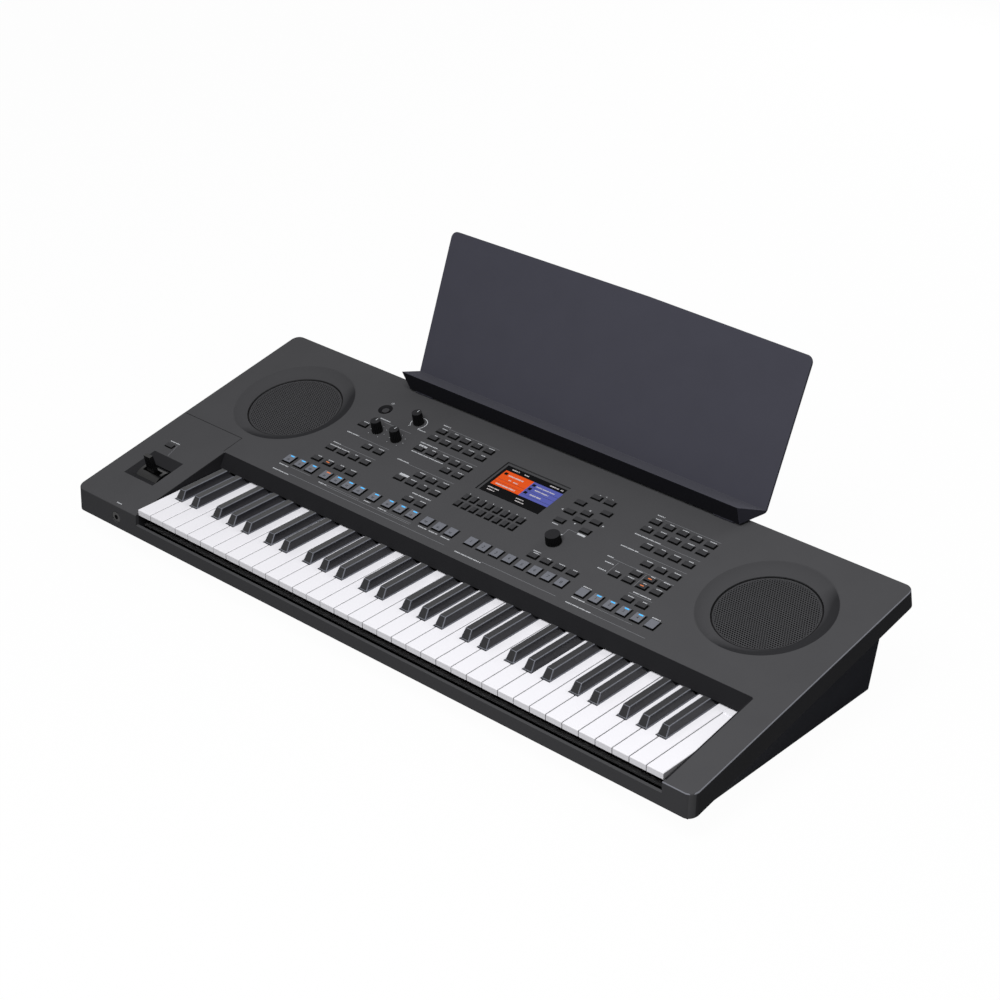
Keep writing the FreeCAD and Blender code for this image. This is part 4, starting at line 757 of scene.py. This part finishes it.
def digits_mesh(name, places, height):
    """Plain numbers from 1, one on each button."""
    shape = bmesh.new()
    for number, (x, y, top) in enumerate(places, 1):
        curve = bpy.data.curves.new("digit", "FONT")
        curve.body = str(number)
        curve.size = height
        curve.align_x = "CENTER"
        curve.align_y = "CENTER"
        curve.extrude = PRINT_DEPTH / 2
        holder = bpy.data.objects.new("digit", curve)
        bpy.context.scene.collection.objects.link(holder)
        graph = bpy.context.evaluated_depsgraph_get()
        mesh = bpy.data.meshes.new_from_object(holder.evaluated_get(graph))
        bpy.data.objects.remove(holder)
        mesh.transform(Matrix.Translation((x, y - DIGIT_DROP, top + PRINT_RISE - PRINT_DEPTH / 2)))
        shape.from_mesh(mesh)
    bmesh.ops.remove_doubles(shape, verts=shape.verts, dist=DIGIT_WELD)
    mesh = bpy.data.meshes.new(name)
    shape.to_mesh(mesh)
    shape.free()
    mesh.transform(PANEL_PLACE)
    return mesh


memory_numbers = digits_mesh("memory_numbers", memories, MEMORY_DIGIT)
piece("memory_numbers", memory_numbers, "registration_buttons", print_dark)
piece("pad_numbers", digits_mesh("pad_numbers", pads, PAD_DIGIT), "pad_buttons", print_dark)

# Painted shade in the gaps round the buttons, as dark bars on the panel, in mm. The flange lies under the
# panel
GAP_WIDTH = 0.7
GAP_TOP = 0.03
FLANGE = 1.2
gaps = []
for name in nodes:
    if not name.endswith("_buttons"):
        continue
    for low, high in islands(name):
        x = (low.x + high.x) / 2
        y = (low.y + high.y) / 2
        half_x = (high.x - low.x) / 2 - FLANGE
        half_y = (high.y - low.y) / 2 - FLANGE
        for side in (-1, 1):
            gaps.append((x, y + side * (half_y + GAP_WIDTH), 2 * half_x + 3 * GAP_WIDTH, GAP_WIDTH, 0))
            gaps.append((x + side * (half_x + GAP_WIDTH), y, GAP_WIDTH, 2 * half_y + 3 * GAP_WIDTH, 0))
panel_bars("button_gap_shade", gaps, black_rubber_and_shade, top=GAP_TOP, depth=THIN_LAYER)

# Pointer lines on the knobs, in mm
POINTER_BACK = 3.2
POINTER = (1.0, 4.2)
POINTER_DEPTH = 0.3
for name, (x, y) in KNOBS.items():
    low, high = islands(name)[0]
    panel_bars(name + "_pointer", [(x, y + POINTER_BACK, *POINTER, 0)], print_white, name,
               top=high.z + PRINT_RISE, depth=POINTER_DEPTH)

# Picture on the display: plain blocks and rows of marks, in mm on the panel
WINDOW_FACE = -2.2
PICTURE_LEFT = -46
PICTURE_RIGHT = 47
PICTURE_LOW = 288.9
PICTURE_HIGH = 318.9
PICTURE_MIDDLE = (PICTURE_LOW + PICTURE_HIGH) / 2
PICTURE_HEIGHT = PICTURE_HIGH - PICTURE_LOW
BLOCK_LIFT = 0.06
RULE_LIFT = 0.1
MARK_LIFT = 0.12
RULE_WIDTH = 0.4
TILE = (5, 4.4)
SCREEN_WORDS = [
    (-36, -12, 312, 2.2), (-30, -26, 305, MARK_HEIGHT), (-22, -14, 304.5, MARK_HEIGHT),
    (-40, -8, 292.5, 2.2), (9, 38, 313, 1.6), (12, 34, 306.5, 1.8), (12, 30, 297, 2),
    (-40, -28, 323.5, MARK_HEIGHT), (-20, -12, 323.5, MARK_HEIGHT), (22, 36, 323.5, 1.8),
    (39, 44, 323.5, MARK_HEIGHT), (-44, -26, 283, 1.8), (-42, -30, 278.5, 1.6),
    (2, 14, 283, MARK_HEIGHT), (4, 18, 278.5, 1.6),
]
LEFT_RULES = (301.5, 296.2)
RIGHT_RULES = (309.2, 301.8, 293.5)
SCREEN_TILES = [(4.5, 313.5), (4.5, 305.5), (4.5, 297.5), (-41.5, 313.5)]


def screen_bars(name, bars, material, lift):
    """Bars of light or colour on the face of the window."""
    panel_bars(name, bars, material, top=WINDOW_FACE + lift, depth=THIN_LAYER)


def screen_block(name, left, right, material):
    """A block of colour over the whole height of the picture."""
    block = ((left + right) / 2, PICTURE_MIDDLE, right - left, PICTURE_HEIGHT, 0)
    screen_bars(name, [block], material, BLOCK_LIFT)


screen_block("screen_left_block", PICTURE_LEFT, 0, screen_orange)
screen_block("screen_right_block", 0, PICTURE_RIGHT, screen_blue)
screen_marks = [mark for row in SCREEN_WORDS for mark in words(*row)]
screen_bars("screen_marks", screen_marks, screen_pale, MARK_LIFT)
screen_rules = [line(PICTURE_LEFT, y, 0, y, RULE_WIDTH) for y in LEFT_RULES]
screen_rules += [line(0, y, PICTURE_RIGHT, y, RULE_WIDTH) for y in RIGHT_RULES]
screen_bars("screen_rules", screen_rules, print_dark, RULE_LIFT)
screen_bars("screen_tiles", [(x, y, *TILE, 0) for x, y in SCREEN_TILES], window_black, MARK_LIFT)


# Speaker grilles: domed sheet with hexagonal holes and a plain rim, in mm. The holes take a share of a cell
GRILLE_PITCH = 3.2
GRILLE_MARGIN = 0.2
GRILLE_OPENING = 0.62
GRILLE_THICKNESS = 0.5
GRILLE_SEAT = 0.6
GRILLE_RIM = 1.6
RIM_STAND = 1.6
RIM_SIDES = 96
SHEET_WELD = 0.001
SPARE_COLUMNS = 4
ROWS_PER_COLUMN = 1.16
# Painted shadow round the grille's edge: how far it reaches inside and outside the edge, in mm
DARK_INSIDE_RIM = 1.8
DARK_OUTSIDE_RIM = 5


def hexagonal_cells(tree, given):
    """A flat field of hexagons: the dual of a triangle grid with every other row shifted by half a pitch."""
    link = tree.links.new
    pitch = given["Pitch"]
    row_pitch = maths(tree, "MULTIPLY", pitch, math.sqrt(0.75))
    width = maths(tree, "MULTIPLY", maths(tree, "SUBTRACT", given["Columns"], 1), pitch)
    depth = maths(tree, "MULTIPLY", maths(tree, "SUBTRACT", given["Rows"], 1), row_pitch)
    grid = tree.nodes.new("GeometryNodeMeshGrid")
    link(width, grid.inputs["Size X"])
    link(depth, grid.inputs["Size Y"])
    link(given["Columns"], grid.inputs["Vertices X"])
    link(given["Rows"], grid.inputs["Vertices Y"])
    parts = tree.nodes.new("ShaderNodeSeparateXYZ")
    link(tree.nodes.new("GeometryNodeInputPosition").outputs[0], parts.inputs[0])
    from_front = maths(tree, "ADD", parts.outputs["Y"], maths(tree, "DIVIDE", depth, 2))
    row = maths(tree, "ROUND", maths(tree, "DIVIDE", from_front, row_pitch), 0)
    odd = maths(tree, "MODULO", row, 2)
    shift = tree.nodes.new("ShaderNodeCombineXYZ")
    link(maths(tree, "MULTIPLY", odd, maths(tree, "DIVIDE", pitch, 2)), shift.inputs["X"])
    stagger = tree.nodes.new("GeometryNodeSetPosition")
    link(grid.outputs["Mesh"], stagger.inputs["Geometry"])
    link(shift.outputs[0], stagger.inputs["Offset"])
    split = tree.nodes.new("GeometryNodeTriangulate")
    link(stagger.outputs["Geometry"], split.inputs["Mesh"])
    cells = tree.nodes.new("GeometryNodeDualMesh")
    link(split.outputs["Mesh"], cells.inputs["Mesh"])
    return cells.outputs["Dual Mesh"]


def round_dome(tree, given, cells):
    """The cells inside the rim, lifted to a shallow dome."""
    link = tree.links.new
    flat = tree.nodes.new("ShaderNodeVectorMath")
    flat.operation = "MULTIPLY"
    flat.inputs[1].default_value = (1, 1, 0)
    link(tree.nodes.new("GeometryNodeInputPosition").outputs[0], flat.inputs[0])
    away = tree.nodes.new("ShaderNodeVectorMath")
    away.operation = "LENGTH"
    link(flat.outputs[0], away.inputs[0])
    distance = away.outputs["Value"]
    inner = maths(tree, "SUBTRACT", given["Radius"], given["Rim"])
    trim = tree.nodes.new("GeometryNodeDeleteGeometry")
    trim.domain = "FACE"
    link(cells, trim.inputs["Geometry"])
    link(maths(tree, "GREATER_THAN", distance, inner), trim.inputs["Selection"])
    share = maths(tree, "DIVIDE", distance, given["Radius"])
    fall = maths(tree, "SUBTRACT", 1, maths(tree, "MULTIPLY", share, share))
    lift = tree.nodes.new("ShaderNodeCombineXYZ")
    link(maths(tree, "MULTIPLY", given["Crown"], fall), lift.inputs["Z"])
    dome = tree.nodes.new("GeometryNodeSetPosition")
    link(trim.outputs["Geometry"], dome.inputs["Geometry"])
    link(lift.outputs[0], dome.inputs["Offset"])
    return dome.outputs["Geometry"]


def pierced(tree, given, cells):
    """A hole in the middle of each cell."""
    link = tree.links.new
    ring = tree.nodes.new("GeometryNodeExtrudeMesh")
    ring.mode = "FACES"
    ring.inputs["Offset Scale"].default_value = 0
    ring.inputs["Individual"].default_value = True
    link(cells, ring.inputs["Mesh"])
    shrink = tree.nodes.new("GeometryNodeScaleElements")
    shrink.domain = "FACE"
    link(ring.outputs["Mesh"], shrink.inputs["Geometry"])
    link(ring.outputs["Top"], shrink.inputs["Selection"])
    link(given["Opening"], shrink.inputs["Scale"])
    holes = tree.nodes.new("GeometryNodeDeleteGeometry")
    holes.domain = "FACE"
    link(shrink.outputs["Geometry"], holes.inputs["Geometry"])
    link(ring.outputs["Top"], holes.inputs["Selection"])
    return holes.outputs["Geometry"]


def thickened(tree, given, sheet):
    """The sheet with its thickness, closed at every edge."""
    link = tree.links.new
    up = tree.nodes.new("ShaderNodeCombineXYZ")
    link(given["Thickness"], up.inputs["Z"])
    thicken = tree.nodes.new("GeometryNodeExtrudeMesh")
    thicken.mode = "FACES"
    thicken.inputs["Individual"].default_value = False
    link(sheet, thicken.inputs["Mesh"])
    link(up.outputs[0], thicken.inputs["Offset"])
    underside = tree.nodes.new("GeometryNodeFlipFaces")
    link(sheet, underside.inputs["Mesh"])
    shell = tree.nodes.new("GeometryNodeJoinGeometry")
    link(thicken.outputs["Mesh"], shell.inputs["Geometry"])
    link(underside.outputs["Mesh"], shell.inputs["Geometry"])
    closed = tree.nodes.new("GeometryNodeMergeByDistance")
    closed.inputs["Distance"].default_value = SHEET_WELD
    link(shell.outputs["Geometry"], closed.inputs["Geometry"])
    return closed.outputs["Geometry"]


def plain_rim(tree, given):
    """The flat ring round the sheet."""
    link = tree.links.new
    edge = tree.nodes.new("GeometryNodeCurvePrimitiveCircle")
    edge.inputs["Resolution"].default_value = RIM_SIDES
    half_rim = maths(tree, "DIVIDE", given["Rim"], 2)
    link(maths(tree, "SUBTRACT", given["Radius"], half_rim), edge.inputs["Radius"])
    section = tree.nodes.new("GeometryNodeCurvePrimitiveQuadrilateral")
    link(maths(tree, "ADD", given["Rim"], given["Pitch"]), section.inputs["Width"])
    link(maths(tree, "MULTIPLY", given["Thickness"], RIM_STAND), section.inputs["Height"])
    rim = tree.nodes.new("GeometryNodeCurveToMesh")
    link(edge.outputs["Curve"], rim.inputs["Curve"])
    link(section.outputs["Curve"], rim.inputs["Profile Curve"])
    return rim.outputs["Mesh"]


def grille_tree():
    """A perforated sheet with its rim, by named sizes."""
    tree, given, result = new_tree("perforated_sheet", [
        ("Carrier", "Geometry"), ("Radius", "Float"), ("Pitch", "Float"), ("Columns", "Int"),
        ("Rows", "Int"), ("Opening", "Float"), ("Crown", "Float"), ("Thickness", "Float"), ("Rim", "Float"),
        ("Finish", "Material")])
    dome = round_dome(tree, given, hexagonal_cells(tree, given))
    sheet = thickened(tree, given, pierced(tree, given, dome))
    whole = tree.nodes.new("GeometryNodeJoinGeometry")
    tree.links.new(sheet, whole.inputs["Geometry"])
    tree.links.new(plain_rim(tree, given), whole.inputs["Geometry"])
    finish_tree(tree, whole.outputs["Geometry"], given["Finish"], result["Result"])
    return tree


PERFORATED_SHEET = grille_tree()
for side in ("left", "right"):
    low, high = islands(side + "_grille")[0]
    radius = (high.x - low.x) / 2
    columns = math.ceil(2 * radius / GRILLE_PITCH) + SPARE_COLUMNS
    empty = bpy.data.meshes.new(side + "_carrier")
    mesh = grown(side + "_speaker_mesh", PERFORATED_SHEET, empty, {
        "Radius": radius - GRILLE_MARGIN, "Pitch": GRILLE_PITCH, "Columns": columns,
        "Rows": math.ceil(columns * ROWS_PER_COLUMN), "Opening": GRILLE_OPENING,
        "Crown": high.z - low.z - 2 * GRILLE_SEAT, "Thickness": GRILLE_THICKNESS, "Rim": GRILLE_RIM,
        "Finish": grille_black})
    middle = Vector(((low.x + high.x) / 2, (low.y + high.y) / 2, low.z + GRILLE_SEAT))
    # Painted shade in the speaker's dish, and a painted shadow round the grille's edge
    shaded_dish(panel_grey, (70, 70, 72), (46, 46, 48), PANEL_PLACE @ middle)
    dark_rim(grille_black, (12, 12, 13), PANEL_PLACE @ middle, (radius - DARK_INSIDE_RIM) * MM,
             (radius + DARK_OUTSIDE_RIM) * MM)
    mesh.transform(PANEL_PLACE @ Matrix.Translation(middle))
    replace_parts(piece(side + "_speaker_mesh", mesh, "case"), side + "_grille")


# Stage: white paper and a white studio, which the camera sees brighter than they light the object
FLOOR_SPAN = 8
FLOOR_AS_LIT = (0.2, 0.2, 0.2, 1)
FLOOR_AS_SEEN = (0.8, 0.8, 0.8, 1)
FLOOR_WHITE = 0.975
STUDIO_LIGHT = 0.26


def seen_white(tree, path, seen):
    """How far a ray sees the plain white studio: the camera's rays, and those in gloss and glass."""
    mirrored = maths(tree, "MAXIMUM", path["Is Glossy Ray"], path["Is Transmission Ray"])
    return maths(tree, "MAXIMUM", seen, mirrored)


def white_paper():
    """The floor's paper, which keeps the object's shadow."""
    paper = bpy.data.materials.new("paper")
    paper.use_nodes = True
    tree = paper.node_tree
    shader = tree.nodes["Principled BSDF"]
    shader.inputs["Roughness"].default_value = 0.9
    shader.inputs["Specular IOR Level"].default_value = 0.1
    white = tree.nodes.new("ShaderNodeEmission")
    white.inputs["Strength"].default_value = 1.0
    path = tree.nodes.new("ShaderNodeLightPath").outputs
    shade = tree.nodes.new("ShaderNodeMix")
    shade.data_type = "RGBA"
    shade.inputs["A"].default_value = FLOOR_AS_LIT
    shade.inputs["B"].default_value = FLOOR_AS_SEEN
    tree.links.new(path["Is Camera Ray"], shade.inputs["Factor"])
    tree.links.new(shade.outputs["Result"], shader.inputs["Base Color"])
    seen = maths(tree, "MULTIPLY", path["Is Camera Ray"], FLOOR_WHITE)
    mix = tree.nodes.new("ShaderNodeMixShader")
    tree.links.new(seen_white(tree, path, seen), mix.inputs[0])
    tree.links.new(shader.outputs[0], mix.inputs[1])
    tree.links.new(white.outputs[0], mix.inputs[2])
    tree.links.new(mix.outputs[0], tree.nodes["Material Output"].inputs["Surface"])
    return paper


def lay_floor():
    """A wide flat sheet under the object."""
    span = FLOOR_SPAN
    mesh = bpy.data.meshes.new("floor")
    mesh.from_pydata([(-span, -span, 0), (span, -span, 0), (span, span, 0), (-span, span, 0)], [],
                     [(0, 1, 2, 3)])
    mesh.materials.append(white_paper())
    floor = bpy.data.objects.new("floor", mesh)
    bpy.context.scene.collection.objects.link(floor)
    floor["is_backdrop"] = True


def light_studio():
    """An even white surround."""
    world = bpy.data.worlds.new("studio")
    bpy.context.scene.world = world
    world.use_nodes = True
    tree = world.node_tree
    sky = tree.nodes["Background"]
    sky.inputs["Color"].default_value = (1, 1, 1, 1)
    path = tree.nodes.new("ShaderNodeLightPath").outputs
    level = tree.nodes.new("ShaderNodeMapRange")
    level.inputs["To Min"].default_value = STUDIO_LIGHT
    level.inputs["To Max"].default_value = 1.0
    tree.links.new(seen_white(tree, path, path["Is Camera Ray"]), level.inputs["Value"])
    tree.links.new(level.outputs[0], sky.inputs["Strength"])


def lamp(name, place, aim, size, power):
    """A soft box, aimed at a point."""
    light = bpy.data.lights.new(name, "AREA")
    light.shape = "RECTANGLE"
    light.size, light.size_y = size
    light.energy = power
    made = bpy.data.objects.new(name, light)
    made.location = place
    made.rotation_euler = (Vector(aim) - Vector(place)).to_track_quat("-Z", "Y").to_euler()
    bpy.context.scene.collection.objects.link(made)


def camera():
    """The photograph's view: its lens, and the way it stands."""
    lens = bpy.data.cameras.new("camera")
    lens.sensor_width = 36
    lens.lens = 86.416
    made = bpy.data.objects.new("camera", lens)
    right = Vector((0.733508, 0.679419, -0.018884))
    up = Vector((-0.320551, 0.370303, 0.871851))
    back = Vector((0.599344, -0.633456, 0.489408))
    turn = Matrix((right, up, back)).transposed().to_4x4()
    made.matrix_world = Matrix.Translation((1.729005, -1.815103, 1.530693)) @ turn
    bpy.context.scene.collection.objects.link(made)
    bpy.context.scene.camera = made


lay_floor()
light_studio()
lamp("softbox", (0.45, -1.1, 1.9), (0.1, 0, 0.05), (0.9, 1.2), 40)
lamp("rim", (1.0, 1.7, 1.75), (0, 0, 0.1), (1.2, 0.5), 8)
lamp("rear_fill", (-0.3, 2.3, 0.55), (0, 0, 0.12), (1.6, 0.6), 14)
camera()

bpy.context.scene.view_settings.view_transform = "Standard"
low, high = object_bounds()
